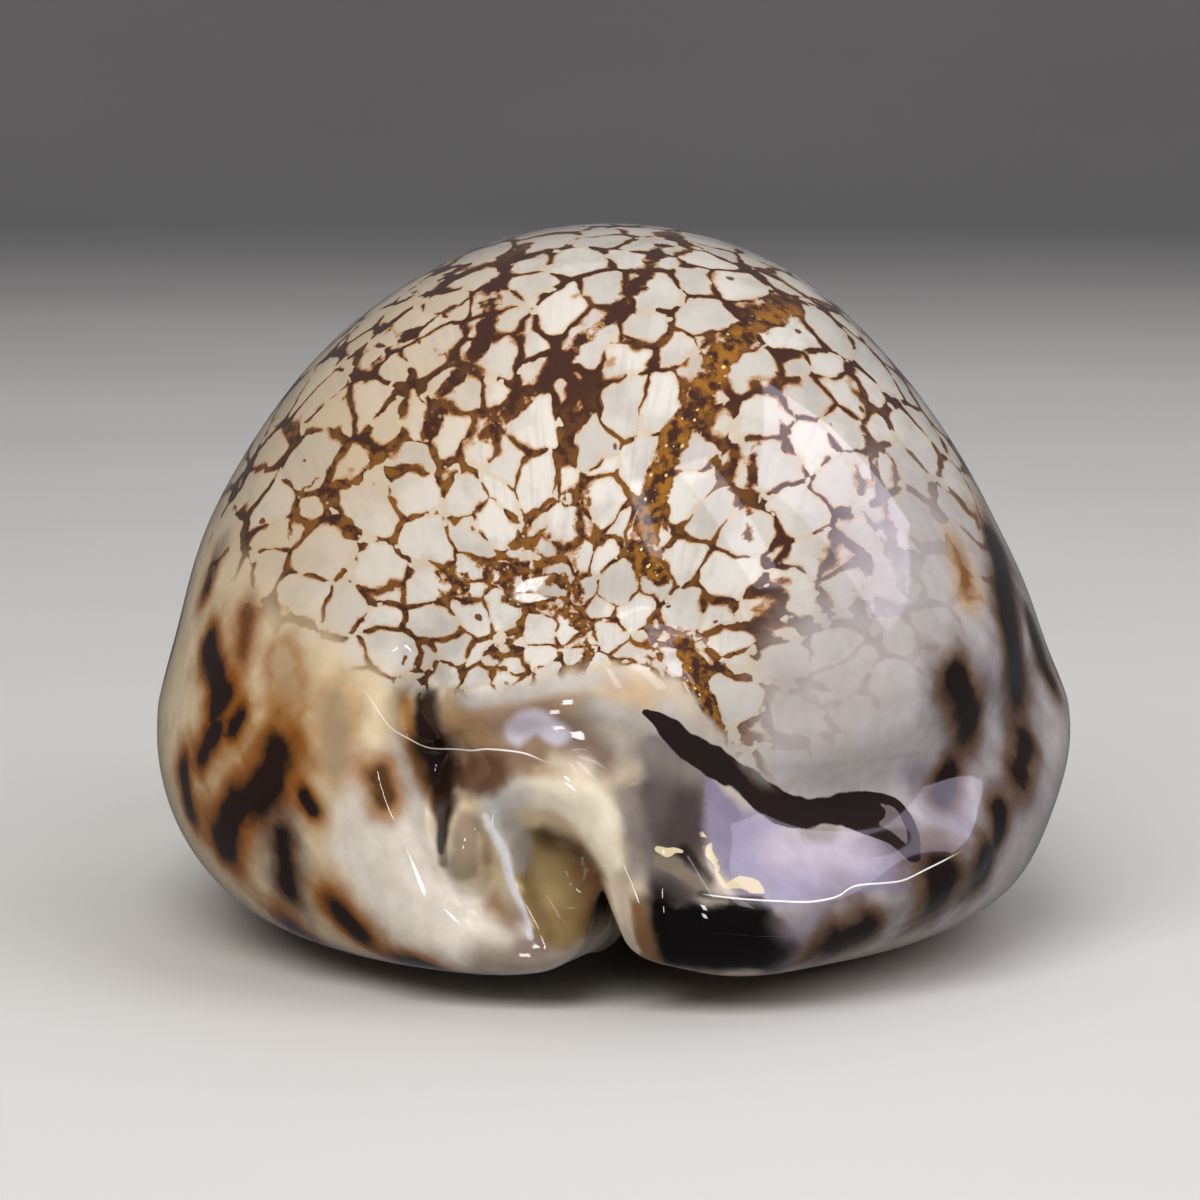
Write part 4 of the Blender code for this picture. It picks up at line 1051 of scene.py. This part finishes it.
        # Painted shade: darker towards the bottom, as the underside's cream in shade.
        under = soft_step(3.2, 1.2, points[:, 2] + 0.5 * uneven)
        self.lay(rgb, np.arange(len(points)), under, Tint.BASE_IN_SHADE)
        for brush in self.back_end:
            if brush.layer is Layer.SOFT:
                near, weight = self.touch(points, brush, uneven)
                self.lay(rgb, near, weight, brush.colour)
        for spot in self.all_spots:
            line = self.settle(points, spot.points)
            brushes = [Brush(spot.halo, spot.radius * 1.65 + 0.22, line, 0.92 * spot.strength, 0.5)]
            if spot.core != Tint.SPOT:
                brushes.append(Brush(spot.core, spot.radius * 0.95, line, spot.strength, 0.4))
            for brush in brushes:
                near, weight = self.touch(points, brush, uneven)
                self.lay(rgb, near, weight, brush.colour)
        self.lay_teeth(rgb, points, plain)
        edge = self.above_callus(points) + 0.5 * uneven
        back = soft_step(-24, -28, points[:, 1]) * soft_step(6.5, 4.5, points[:, 0])
        right = soft_step(4.8, 7.0, points[:, 0]) * soft_step(-12, -20, points[:, 1])
        cover = soft_step(1.2 - 0.8 * back, -1.6 + 1.3 * back, edge + 3.0 * right)
        # Painted reflection: a pale veil of the callus colour over the net on the right of the back end.
        sheen_veil = 0.86 * right * soft_step(5.0, -0.8, edge)
        cover = np.maximum(cover, sheen_veil)
        return np.column_stack([rgb, cover])

    def sharp_marks(self, points: Array) -> Array:
        """How near each point is to the marks whose edges stay sharp.

        Args:
            points: the surface's points in body millimetres.

        Returns:
            Three columns, for the dark spots, the dark bands of painted shade in the valley and the pale
            chips: 1 at a mark's edge, less inside it, more outside.
        """
        uneven = self.unevenness(points)
        marks = [(0, Brush(spot.core, spot.radius, self.settle(points, spot.points)))
                 for spot in self.all_spots if spot.core == Tint.SPOT]
        columns = {Layer.DARK: 1, Layer.CHIP: 2}
        marks += [(columns[brush.layer], brush) for brush in self.back_end if brush.layer in columns]
        rows = np.full((len(points), 3), FAR)
        for column, brush in marks:
            near, share = self.reach(points, brush, uneven)
            rows[near, column] = np.minimum(rows[near, column], share)
        return rows

    @staticmethod
    def lay(rgb: Array, near: Array, weight: Array, colour: Colour) -> None:
        """Lays a colour over what is there, at the points near, by weight."""
        rgb[near] += weight[:, None] * (np.array(colour) - rgb[near])

    def lay_teeth(self, rgb: Array, points: Array, plain: Array) -> None:
        """Browns the teeth on both lips, and paints shade into the slit: darker as it sinks, near-black
        at the back end.
        """
        away, rows = near_path(plain, smooth_rows(self.form.slit, 6))
        side = plain[:, 0] - rows[:, 0]
        tooth = self.form.tooth_wave(rows[:, 1], side)
        reach = np.where(side < 0, 2.6, 3.4)
        low = soft_step(2.5, 1.4, points[:, 2])
        weight = tooth * soft_step(reach, reach - 1.6, away) * low
        self.lay(rgb, np.arange(len(points)), 0.85 * weight, Tint.TOOTH)
        inward = np.array([0, 0, self.form.waist]) - plain
        sunk = np.einsum("ij,ij->i", points - plain, inward) / np.linalg.norm(inward, axis=1)
        beside = soft_step(4.0, 2.5, away)
        # Painted shade: the slit's walls take the inside colour as they sink.
        self.lay(rgb, np.arange(len(points)), soft_step(1.5, 4.0, sunk) * beside, Tint.INSIDE_AND_SHADE)
        # Painted shadow: near-black deep in the slit at the back end.
        gap_shadow = soft_step(1.0, 2.0, sunk) * beside * soft_step(-22.0, -26.0, points[:, 1])
        self.lay(rgb, np.arange(len(points)), gap_shadow, Tint.GAP_SHADOW)

    def net_guide(self, points: Array) -> Array:
        """What changes the net from place to place.

        Args:
            points: the surface's points in body millimetres.

        Returns:
            Four columns: how thick its lines are, how golden, how near the mantle line, and how tan
            its cells are.
        """
        uneven = self.wobble(points, 1.1)
        guide = np.zeros((len(points), 4))
        for ribbon in self.ribbons:
            brush = replace(ribbon, points=self.settle(points, ribbon.points))
            near, weight = self.touch(points, brush, uneven)
            for column in (0, 1):
                value = brush.colour[column] * weight
                guide[near, column] = np.maximum(guide[near, column], value)
        away, _ = near_path(points, smooth_rows(self.settle(points, self.mantle_line), 4))
        guide[:, 2] = 0.85 * soft_step(0.75, 0.25, away + 0.2 * uneven)
        x, y, z = points.T
        guide[:, 3] = soft_step(0, -12, x) * soft_step(-28, -20, y)
        return guide

    def net_place(self, points: Array) -> Array:
        """Where each point is in the net, with one cell to a unit: cells grow away from the back end."""
        heart = np.array([-2.0, -29.5, 14.5])
        away = np.linalg.norm(points - heart, axis=1)
        steps = np.linspace(0, 80, 801)
        size = 1.3 + 2.5 * soft_step(1.0, 18.0, steps)
        cells = np.concatenate([[0], np.cumsum(np.diff(steps) / size[1:])])
        scaled = np.interp(away, steps, cells)
        return (points - heart) / np.maximum(away, 1e-6)[:, None] * scaled[:, None]

    def painted_glints(self, points: Array) -> Array:
        """Where the painted highlights are: thin bright lines along ridges of the back end.

        Args:
            points: the surface's points in body millimetres.

        Returns:
            Three columns: millimetres above the line, how strong the line is there, and nothing.
        """
        x, y, z = points.T
        rows = np.tile(np.array([9.0, 0.0, 0.0]), (len(points), 1))
        for line in self.glint_lines:
            path = smooth_rows(line, 4)
            above = z - np.interp(x, path[:, 0], path[:, 1])
            start, end = path[0, 0], path[-1, 0]
            strength = soft_step(start, start + 0.8, x) * soft_step(end, end - 1.2, x)
            chosen = (np.abs(above) < 1.5) & (strength > 0) & (y < -15)
            rows[chosen, 0] = above[chosen]
            rows[chosen, 1] = strength[chosen]
        return rows

    def apply(self, shell: bpy.types.Object, points: Array, plain: Array) -> None:
        """Stores the colours and guides on the mesh, one value for each vertex."""
        mesh = shell.data
        for name, kind, values in (
            ("callus", "FLOAT_COLOR", self.callus_colour(points, plain)),
            ("net_guide", "FLOAT_COLOR", self.net_guide(points)),
            ("net_place", "FLOAT_VECTOR", self.net_place(points)),
            ("painted_glints", "FLOAT_VECTOR", self.painted_glints(points)),
            ("sharp_marks", "FLOAT_VECTOR", self.sharp_marks(points)),
        ):
            layer = mesh.attributes.new(name, kind, "POINT")
            layer.data.foreach_set("color" if kind == "FLOAT_COLOR" else "vector", values.ravel())
        mesh.attributes.new("outside", "FLOAT", "POINT").data.foreach_set("value", np.ones(len(points)))

    def line_inside(self, shell: bpy.types.Object) -> None:
        """Gives the hollow's own surface, which the cut has made, its plain colour."""
        mesh = shell.data
        outside = np.zeros(len(mesh.vertices))
        mesh.attributes["outside"].data.foreach_get("value", outside)
        colours = np.zeros(len(mesh.vertices) * 4)
        layer = mesh.attributes["callus"]
        layer.data.foreach_get("color", colours)
        colours = colours.reshape(-1, 4)
        colours[outside < 0.5] = (*Tint.INSIDE_AND_SHADE, 1.0)
        layer.data.foreach_set("color", colours.ravel())
        mesh.attributes.remove(mesh.attributes["outside"])


# ---------------------------------------------------------------- finishes

Socket = bpy.types.NodeSocket
Value = Socket | float | tuple[float, ...]


class Recipe:
    """Puts together the nodes of one material."""

    def __init__(self, name: str) -> None:
        """Starts an empty material with this name."""
        self.material = bpy.data.materials.new(name)
        self.material.use_nodes = True
        self.tree = self.material.node_tree
        self.tree.nodes.clear()

    def add(self, kind: str, inputs: dict[str | int, Value], **settings: object) -> bpy.types.Node:
        """Adds a node.

        Args:
            kind: the node's type, without its ShaderNode prefix.
            inputs: for each input's name or place, a number, a colour or the socket that feeds it.
            settings: the node's own properties.

        Returns:
            The node.
        """
        node = self.tree.nodes.new(f"ShaderNode{kind}")
        for name, value in settings.items():
            setattr(node, name, value)
        for name, value in inputs.items():
            self.feed(node.inputs[name], value)
        return node

    def feed(self, socket: Socket, value: Value) -> None:
        """Links a socket, or sets it to a number or colour."""
        if isinstance(value, bpy.types.NodeSocket):
            self.tree.links.new(value, socket)
        elif isinstance(value, tuple) and len(value) == 3 and socket.type == "RGBA":
            socket.default_value = (*value, 1.0)
        else:
            socket.default_value = value

    def math(self, operation: str, *values: Value) -> Socket:
        """A sum on numbers, such as "DIVIDE" or "ABSOLUTE"."""
        return self.add("Math", dict(enumerate(values)), operation=operation).outputs[0]

    def times(self, *values: Value) -> Socket:
        """Two numbers multiplied."""
        return self.math("MULTIPLY", *values)

    def plus(self, *values: Value) -> Socket:
        """Two numbers added."""
        return self.math("ADD", *values)

    def minus(self, *values: Value) -> Socket:
        """The first number less the second."""
        return self.math("SUBTRACT", *values)

    def larger(self, *values: Value) -> Socket:
        """The larger of two numbers."""
        return self.math("MAXIMUM", *values)

    def vector(self, operation: str, *values: Value) -> Socket:
        """A sum on vectors."""
        node = self.add("VectorMath", {}, operation=operation)
        for place, value in enumerate(values):
            socket = node.inputs["Scale"] if operation == "SCALE" and place == 1 else node.inputs[place]
            self.feed(socket, value)
        return node.outputs[0]

    def step(self, value: Value, low: Value, high: Value) -> Socket:
        """0 at low and 1 at high, or the other way round where low is above high."""
        inputs = {"Value": value, "From Min": low, "From Max": high}
        return self.add("MapRange", inputs, interpolation_type="SMOOTHSTEP").outputs[0]

    def inside(self, distance: Value, radius: Value, softness: float = 0.3) -> Socket:
        """1 well within a radius and 0 beyond it, also where the radius is nothing."""
        share = self.math("DIVIDE", distance, self.math("MAXIMUM", radius, 0.0005))
        return self.step(share, 1.0, 1.0 - softness)

    def blend(self, share: Value, under: Value, over: Value, how: str = "MIX") -> Socket:
        """One colour over another, by share."""
        node = self.add("Mix", {}, data_type="RGBA", blend_type=how)
        for place, value in ((0, share), (6, under), (7, over)):
            self.feed(node.inputs[place], value)
        return node.outputs[2]

    def noise(
        self, place: Socket, scale: float, detail: float = 2.0, rough: float = 0.5
    ) -> bpy.types.Node:
        """Cloudy noise, with Fac about 0.5 on average."""
        inputs = {"Vector": place, "Scale": scale, "Detail": detail, "Roughness": rough}
        return self.add("TexNoise", inputs)

    def cells(self, place: Socket, scale: float, feature: str, jitter: float = 1.0) -> bpy.types.Node:
        """Cells: distance to the edge with DISTANCE_TO_EDGE, or to the middle with F1."""
        inputs = {"Vector": place, "Scale": scale, "Randomness": jitter}
        return self.add("TexVoronoi", inputs, feature=feature)


@dataclass(frozen=True)
class GlazedShell:
    """The shell's polished glaze: a net of dark lines round pale cells, under the callus's colours."""

    roughness: float = 0.055
    refraction: float = 1.5
    jitter: float = 0.88
    line_width: float = 0.068
    ribbon_width: float = 0.13
    dot_size: float = 0.26
    bubble_size: float = 0.34
    glint_width: float = 0.045
    cream: Colour = shade(216, 211, 203)
    grey_cell: Colour = shade(168, 161, 154)
    tan_cell: Colour = shade(198, 176, 144)
    dark_line: Colour = shade(66, 42, 34)
    golden_line: Colour = shade(150, 100, 38)
    brown_line: Colour = shade(112, 72, 40)
    fringe_line: Colour = shade(166, 108, 38)
    pale_dot: Colour = shade(226, 200, 140)
    # The colour of the painted highlight lines.
    glint_colour: Colour = shade(250, 248, 246)
    ring: Colour = (0.62, 0.40, 0.17)
    spot: Colour = shade(26, 17, 16)
    # The colour of the valley's painted shade.
    shaded_valley: Colour = shade(38, 28, 27)
    chip: Colour = shade(214, 198, 166)

    def material(self) -> bpy.types.Material:
        """The glaze as nodes on the mesh's own attributes.

        Returns:
            The material.
        """
        mix = Recipe("shell_glaze")
        place = mix.add("Attribute", {}, attribute_name="net_place").outputs["Vector"]
        guide = mix.add("Attribute", {}, attribute_name="net_guide")
        thick, golden, streak = mix.add("SeparateColor", {0: guide.outputs["Color"]}).outputs[:3]
        callus = mix.add("Attribute", {}, attribute_name="callus")
        spot = mix.add("TexCoord", {}).outputs["Object"]
        net = self.net_colour(mix, place, thick, golden, streak, guide.outputs["Alpha"])
        cover = callus.outputs["Alpha"]
        grain = mix.noise(spot, 900.0, 3.0, 0.55).outputs["Fac"]
        mottle = mix.blend(mix.step(grain, 0.3, 0.75), shade(236, 232, 226), shade(255, 253, 250))
        under = mix.blend(1.0, callus.outputs["Color"], mottle, "MULTIPLY")
        marks = mix.add("Attribute", {}, attribute_name="sharp_marks").outputs["Vector"]
        spotted, dark, chipped = mix.add("SeparateXYZ", {0: marks}).outputs
        frayed = mix.minus(mix.noise(spot, 1500.0, 3.0, 0.6).outputs["Fac"], 0.5)
        spotted = mix.plus(spotted, mix.times(frayed, 0.45))
        ring = mix.times(mix.step(spotted, 1.75, 0.95), 0.85)
        under = mix.blend(ring, under, self.ring, "MULTIPLY")
        under = mix.blend(mix.times(mix.step(spotted, 1.16, 0.45), 0.97), under, self.spot)
        # Painted shade: the valley's sharp-edged dark bands.
        dark = mix.plus(dark, mix.times(frayed, 0.22))
        under = mix.blend(mix.step(dark, 1.08, 0.94), under, self.shaded_valley)
        chipped = mix.plus(chipped, mix.times(frayed, 0.8))
        under = mix.blend(mix.step(chipped, 1.1, 0.85), under, self.chip)
        colour = mix.blend(cover, net, under)
        # Painted highlights: thin near-white lines along ridges of the back end.
        fine = mix.add("Attribute", {}, attribute_name="painted_glints").outputs["Vector"]
        above, strong, _ = mix.add("SeparateXYZ", {0: fine}).outputs
        glint_mask = mix.times(mix.inside(mix.math("ABSOLUTE", above), self.glint_width, 0.6), strong)
        colour = mix.blend(mix.times(glint_mask, 0.85), colour, self.glint_colour)
        smear = mix.noise(spot, 300.0, 4.0, 0.6).outputs["Fac"]
        gloss = mix.plus(self.roughness, mix.times(mix.step(smear, 0.55, 0.8), 0.05))
        ripple = mix.noise(spot, 260.0, 2.0).outputs["Fac"]
        relief = mix.add("Bump", {"Strength": 0.25, "Distance": 0.00006, "Height": ripple}).outputs[0]
        body = mix.add(
            "BsdfPrincipled",
            {
                "Base Color": colour,
                "Roughness": gloss,
                "IOR": self.refraction,
                "Specular IOR Level": 0.4,
                "Normal": relief,
                "Subsurface Weight": 0.08,
                "Subsurface Radius": (1.0, 0.7, 0.45),
                "Subsurface Scale": 0.0012,
            },
        )
        mix.add("OutputMaterial", {"Surface": body.outputs[0]})
        return mix.material

    def net_colour(
        self, mix: Recipe, place: Socket, thick: Socket, golden: Socket, streak: Socket, tan: Socket
    ) -> Socket:
        """The back's colours.

        Args:
            mix: the material's recipe.
            place: where each point is in the net, one cell to a unit.
            thick: how much thicker than usual the lines are.
            golden: how golden the lines are.
            streak: how near the mantle line a point is.
            tan: how tan the cells are.

        Returns:
            The colour.
        """
        half = (0.5, 0.5, 0.5)
        broad = mix.noise(place, 0.8, 2.0).outputs["Color"]
        fine = mix.noise(place, 3.0, 2.0).outputs["Color"]
        sway = mix.vector("SCALE", mix.vector("SUBTRACT", broad, half), 0.85)
        crinkle = mix.vector("SCALE", mix.vector("SUBTRACT", fine, half), 0.13)
        bent = mix.vector("ADD", place, mix.vector("ADD", sway, crinkle))
        cell = mix.cells(bent, 1.0, "F1", self.jitter)
        own = mix.add("SeparateColor", {0: cell.outputs["Color"]}).outputs
        corner = mix.larger(mix.minus(cell.outputs["Distance"], 0.52), 0.0)
        edge = mix.cells(bent, 1.0, "DISTANCE_TO_EDGE", self.jitter).outputs["Distance"]
        edge = mix.minus(edge, mix.times(corner, 0.3))
        rough = mix.noise(place, 8.0, 2.0, 0.6).outputs["Fac"]
        edge = mix.plus(edge, mix.times(mix.minus(rough, 0.5), 0.07))
        patch = mix.noise(place, 0.55, 1.0).outputs["Fac"]
        notch = mix.noise(place, 2.0, 2.0).outputs["Fac"]
        # A line's half-width: thin in places, broken where the noise is low, and wide along ribbons.
        width = mix.times(mix.step(notch, 0.385, 0.60), self.line_width)
        heavier = mix.plus(0.6, mix.times(mix.step(patch, 0.35, 0.65), 0.7))
        width = mix.times(width, heavier)
        ragged = mix.noise(place, 3.4, 3.0, 0.6).outputs["Fac"]
        wide = mix.times(thick, mix.times(mix.step(ragged, 0.30, 0.70), self.ribbon_width))
        width = mix.times(mix.plus(width, wide), mix.minus(1.0, streak))
        shred = mix.noise(place, 2.2, 4.0, 0.65).outputs["Fac"]
        torn = mix.plus(thick, mix.times(mix.minus(shred, 0.5), 1.6))
        present = mix.larger(mix.step(notch, 0.405, 0.435), mix.step(thick, 0.1, 0.3))
        core = mix.times(mix.inside(edge, width, 0.3), present)
        core = mix.larger(core, mix.step(torn, 0.74, 0.80))
        fringe = mix.inside(edge, mix.plus(mix.times(width, 1.4), 0.02), 0.5)
        fringe = mix.larger(mix.times(fringe, present), mix.step(torn, 0.62, 0.74))
        glow = mix.inside(edge, mix.plus(mix.times(width, 1.2), 0.12), 0.8)
        # Small dots and commas beside the lines, and tiny pale dots inside the golden ribbons.
        dots = mix.cells(bent, 2.3, "F1", 1.0)
        chance = mix.add("SeparateColor", {0: dots.outputs["Color"]}).outputs[0]
        size = mix.times(mix.step(chance, 0.84, 1.0), self.dot_size)
        dot = mix.inside(dots.outputs["Distance"], size)
        dot = mix.times(dot, mix.minus(1.0, streak))
        bubbles = mix.cells(place, 6.5, "F1", 1.0)
        lucky = mix.add("SeparateColor", {0: bubbles.outputs["Color"]}).outputs[1]
        size = mix.times(mix.step(lucky, 0.55, 1.0), self.bubble_size)
        bubble = mix.inside(bubbles.outputs["Distance"], size)
        bubble = mix.times(bubble, mix.times(thick, golden))
        # The cells: each its own tint, tan towards the lines, with faint growth streaks.
        ground = mix.blend(mix.times(mix.math("POWER", own[0], 1.5), 0.6), self.cream, self.grey_cell)
        cloud = mix.noise(place, 0.9, 3.0, 0.6).outputs["Fac"]
        ground = mix.blend(mix.times(mix.step(cloud, 0.42, 0.68), 0.55), ground, self.grey_cell)
        ground = mix.blend(mix.times(glow, 0.5), ground, self.tan_cell)
        tanned = mix.times(tan, mix.plus(0.5, mix.times(own[1], 0.45)))
        ground = mix.blend(tanned, ground, self.tan_cell)
        grown = mix.vector("MULTIPLY", place, (7.0, 0.8, 0.9))
        line = mix.noise(grown, 1.0, 2.0).outputs["Fac"]
        streaks = mix.times(mix.step(line, 0.45, 0.7), mix.times(own[2], 0.35))
        ground = mix.blend(streaks, ground, self.grey_cell)
        # The lines: dark cores, golden fringes, golden all through in some places.
        gold = mix.larger(golden, mix.times(mix.step(patch, 0.55, 0.75), 0.6))
        stain = mix.noise(place, 4.0, 3.0).outputs["Fac"]
        gold = mix.times(gold, mix.step(stain, 0.40, 0.60))
        deep = mix.inside(mix.plus(edge, 0.008), mix.times(width, 0.9), 0.6)
        deep = mix.larger(deep, mix.step(torn, 0.78, 0.88))
        ink = mix.blend(deep, self.brown_line, mix.blend(gold, self.dark_line, self.golden_line))
        colour = mix.blend(mix.times(fringe, 0.8), ground, self.fringe_line)
        colour = mix.blend(mix.larger(core, dot), colour, ink)
        return mix.blend(bubble, colour, self.pale_dot)


@dataclass(frozen=True)
class StudioPaper:
    """Pale paper with a faint tooth, for the ground."""

    pale: Colour = shade(206, 204, 202)
    dim: Colour = shade(200, 198, 196)

    def material(self) -> bpy.types.Material:
        """The paper as nodes.

        Returns:
            The material.
        """
        mix = Recipe("studio_paper")
        spot = mix.add("TexCoord", {}).outputs["Object"]
        cloud = mix.noise(spot, 9.0, 3.0).outputs["Fac"]
        colour = mix.blend(mix.step(cloud, 0.3, 0.7), self.dim, self.pale)
        body = mix.add("BsdfPrincipled", {"Base Color": colour, "Roughness": 0.7})
        mix.add("OutputMaterial", {"Surface": body.outputs[0]})
        return mix.material


# ---------------------------------------------------------------- the setting


@dataclass(frozen=True)
class SoftBox:
    """A rectangular light that faces the shell.

    azimuth is in degrees round from the back end towards +X, and elevation above the floor. distance
    and size are in metres, and power in watts. lit says whether it lights the surfaces, and mirrored
    whether the glaze shows its reflection.
    """

    name: str
    azimuth: float
    elevation: float
    distance: float
    size: tuple[float, float]
    power: float
    colour: Colour
    lit: bool = True
    mirrored: bool = True


@dataclass
class Studio:
    """The pale ground, the soft lights and the camera round the shell."""

    home: Vector
    ground_radius: float = 0.75
    rise_radius: float = 0.35
    rise_steps: int = 16
    wall_height: float = 0.55
    view_distance: float = 0.230
    view_elevation: float = 6.5
    lens: float = 147.5
    aim: tuple[float, float, float] = (0.0, 0.0, 0.015)
    aim_right: float = 0.00051
    aim_down: float = 0.00108
    boxes: tuple[SoftBox, ...] = (
        SoftBox("key_box", -20, 46, 0.42, (0.3, 0.3), 1.65, (1.0, 0.98, 0.95), mirrored=False),
        SoftBox("fill_box", 62, 38, 0.45, (0.35, 0.35), 0.9, (0.97, 0.96, 1.0), mirrored=False),
        SoftBox("top_box", 160, 60, 0.45, (0.4, 0.4), 0.9, (1.0, 1.0, 1.0), mirrored=False),
        SoftBox("right_panel", 99, 42, 0.36, (0.22, 0.2), 0.5, (0.84, 0.77, 1.0), lit=False),
        SoftBox("slim_panel", 47, 50, 0.36, (0.06, 0.2), 0.16, (0.92, 0.88, 1.0), lit=False),
        SoftBox("front_glint", -9, 9, 0.4, (0.03, 0.07), 0.17, (1.0, 0.98, 0.95), lit=False),
        SoftBox("low_glint", -14, -13, 0.4, (0.03, 0.07), 0.14, (1.0, 0.98, 0.95), lit=False),
        SoftBox("tall_strip", 14, 50, 0.4, (0.02, 0.2), 0.06, (0.96, 0.96, 1.0), lit=False),
    )

    def build(self) -> None:
        """Sets up everything round the shell."""
        self.build_ground()
        self.build_camera()
        self.build_lights()

    def build_ground(self) -> None:
        """A round pale floor whose rim sweeps up into a low wall."""
        Bench.deselect()
        bpy.ops.mesh.primitive_circle_add(vertices=128, radius=self.ground_radius, fill_type="NGON")
        ground = bpy.context.object
        ground.name = ground.data.name = "studio_ground"
        bpy.ops.object.mode_set(mode="EDIT")
        bpy.ops.mesh.select_mode(type="EDGE")
        bpy.ops.mesh.select_all(action="SELECT")
        radius = self.ground_radius
        for step in range(1, self.rise_steps + 1):
            turn = math.pi / 2 * step / self.rise_steps
            wider = self.ground_radius + self.rise_radius * math.sin(turn)
            lift = self.rise_radius * (math.cos(turn - math.pi / 2 / self.rise_steps) - math.cos(turn))
            bpy.ops.mesh.extrude_edges_move(TRANSFORM_OT_translate={"value": (0, 0, lift)})
            bpy.ops.transform.resize(value=(wider / radius, wider / radius, 1), center_override=(0, 0, 0))
            radius = wider
        bpy.ops.mesh.extrude_edges_move(TRANSFORM_OT_translate={"value": (0, 0, self.wall_height)})
        bpy.ops.mesh.select_all(action="SELECT")
        bpy.ops.mesh.normals_make_consistent(inside=True)
        bpy.ops.object.mode_set(mode="OBJECT")
        bpy.ops.object.shade_smooth()
        ground.data.materials.append(StudioPaper().material())
        ground.visible_glossy = False

    def build_camera(self) -> None:
        """A long lens a little above the back end, level with the slit."""
        tilt = math.radians(self.view_elevation)
        up = Vector((0, math.sin(tilt), math.cos(tilt)))
        target = Vector(self.aim) + self.home
        place = target + Vector((0, -math.cos(tilt), math.sin(tilt))) * self.view_distance
        target -= Vector((self.aim_right, 0, 0)) + up * self.aim_down
        bpy.ops.object.camera_add(location=place)
        camera = bpy.context.object
        camera.name = "studio_camera"
        camera.rotation_euler = (place - target).to_track_quat("Z", "Y").to_euler()
        camera.data.lens = self.lens
        camera.data.clip_start = 0.01
        bpy.context.scene.camera = camera

    def build_lights(self) -> None:
        """Soft boxes for the light itself, and panels that only show as reflections in the glaze."""
        scene = bpy.context.scene
        scene.world = bpy.data.worlds.new("studio_air")
        scene.world.use_nodes = True
        backdrop = scene.world.node_tree.nodes["Background"]
        backdrop.inputs["Color"].default_value = (0.9, 0.92, 1.0, 1.0)
        backdrop.inputs["Strength"].default_value = 0.1
        scene.view_settings.view_transform = "Standard"
        for box in self.boxes:
            self.hang(box)

    def hang(self, box: SoftBox) -> None:
        """Hangs a rectangular light that faces the shell."""
        turn, rise = math.radians(box.azimuth), math.radians(box.elevation)
        middle = Vector(self.aim) + self.home
        away = Vector((math.sin(turn) * math.cos(rise), -math.cos(turn) * math.cos(rise), math.sin(rise)))
        bpy.ops.object.light_add(type="AREA", location=middle + away * box.distance)
        light = bpy.context.object
        light.name = box.name
        light.rotation_euler = away.to_track_quat("Z", "Y").to_euler()
        light.data.shape = "RECTANGLE"
        light.data.size, light.data.size_y = box.size
        light.data.energy = box.power
        light.data.color = box.colour
        light.visible_diffuse = box.lit
        light.visible_glossy = box.mirrored
        light.visible_camera = False


def main() -> None:
    """Builds the shell and its setting."""
    logging.basicConfig(level=logging.INFO, format="%(name)s: %(message)s")
    maker = Shell()
    shell = maker.build()
    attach(shell, "root")
    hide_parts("shell")
    log.info("cowrie_shell: one hollow piece on root")
    Studio(Vector(maker.home()) * MM).build()


if __name__ == "__main__":
    main()
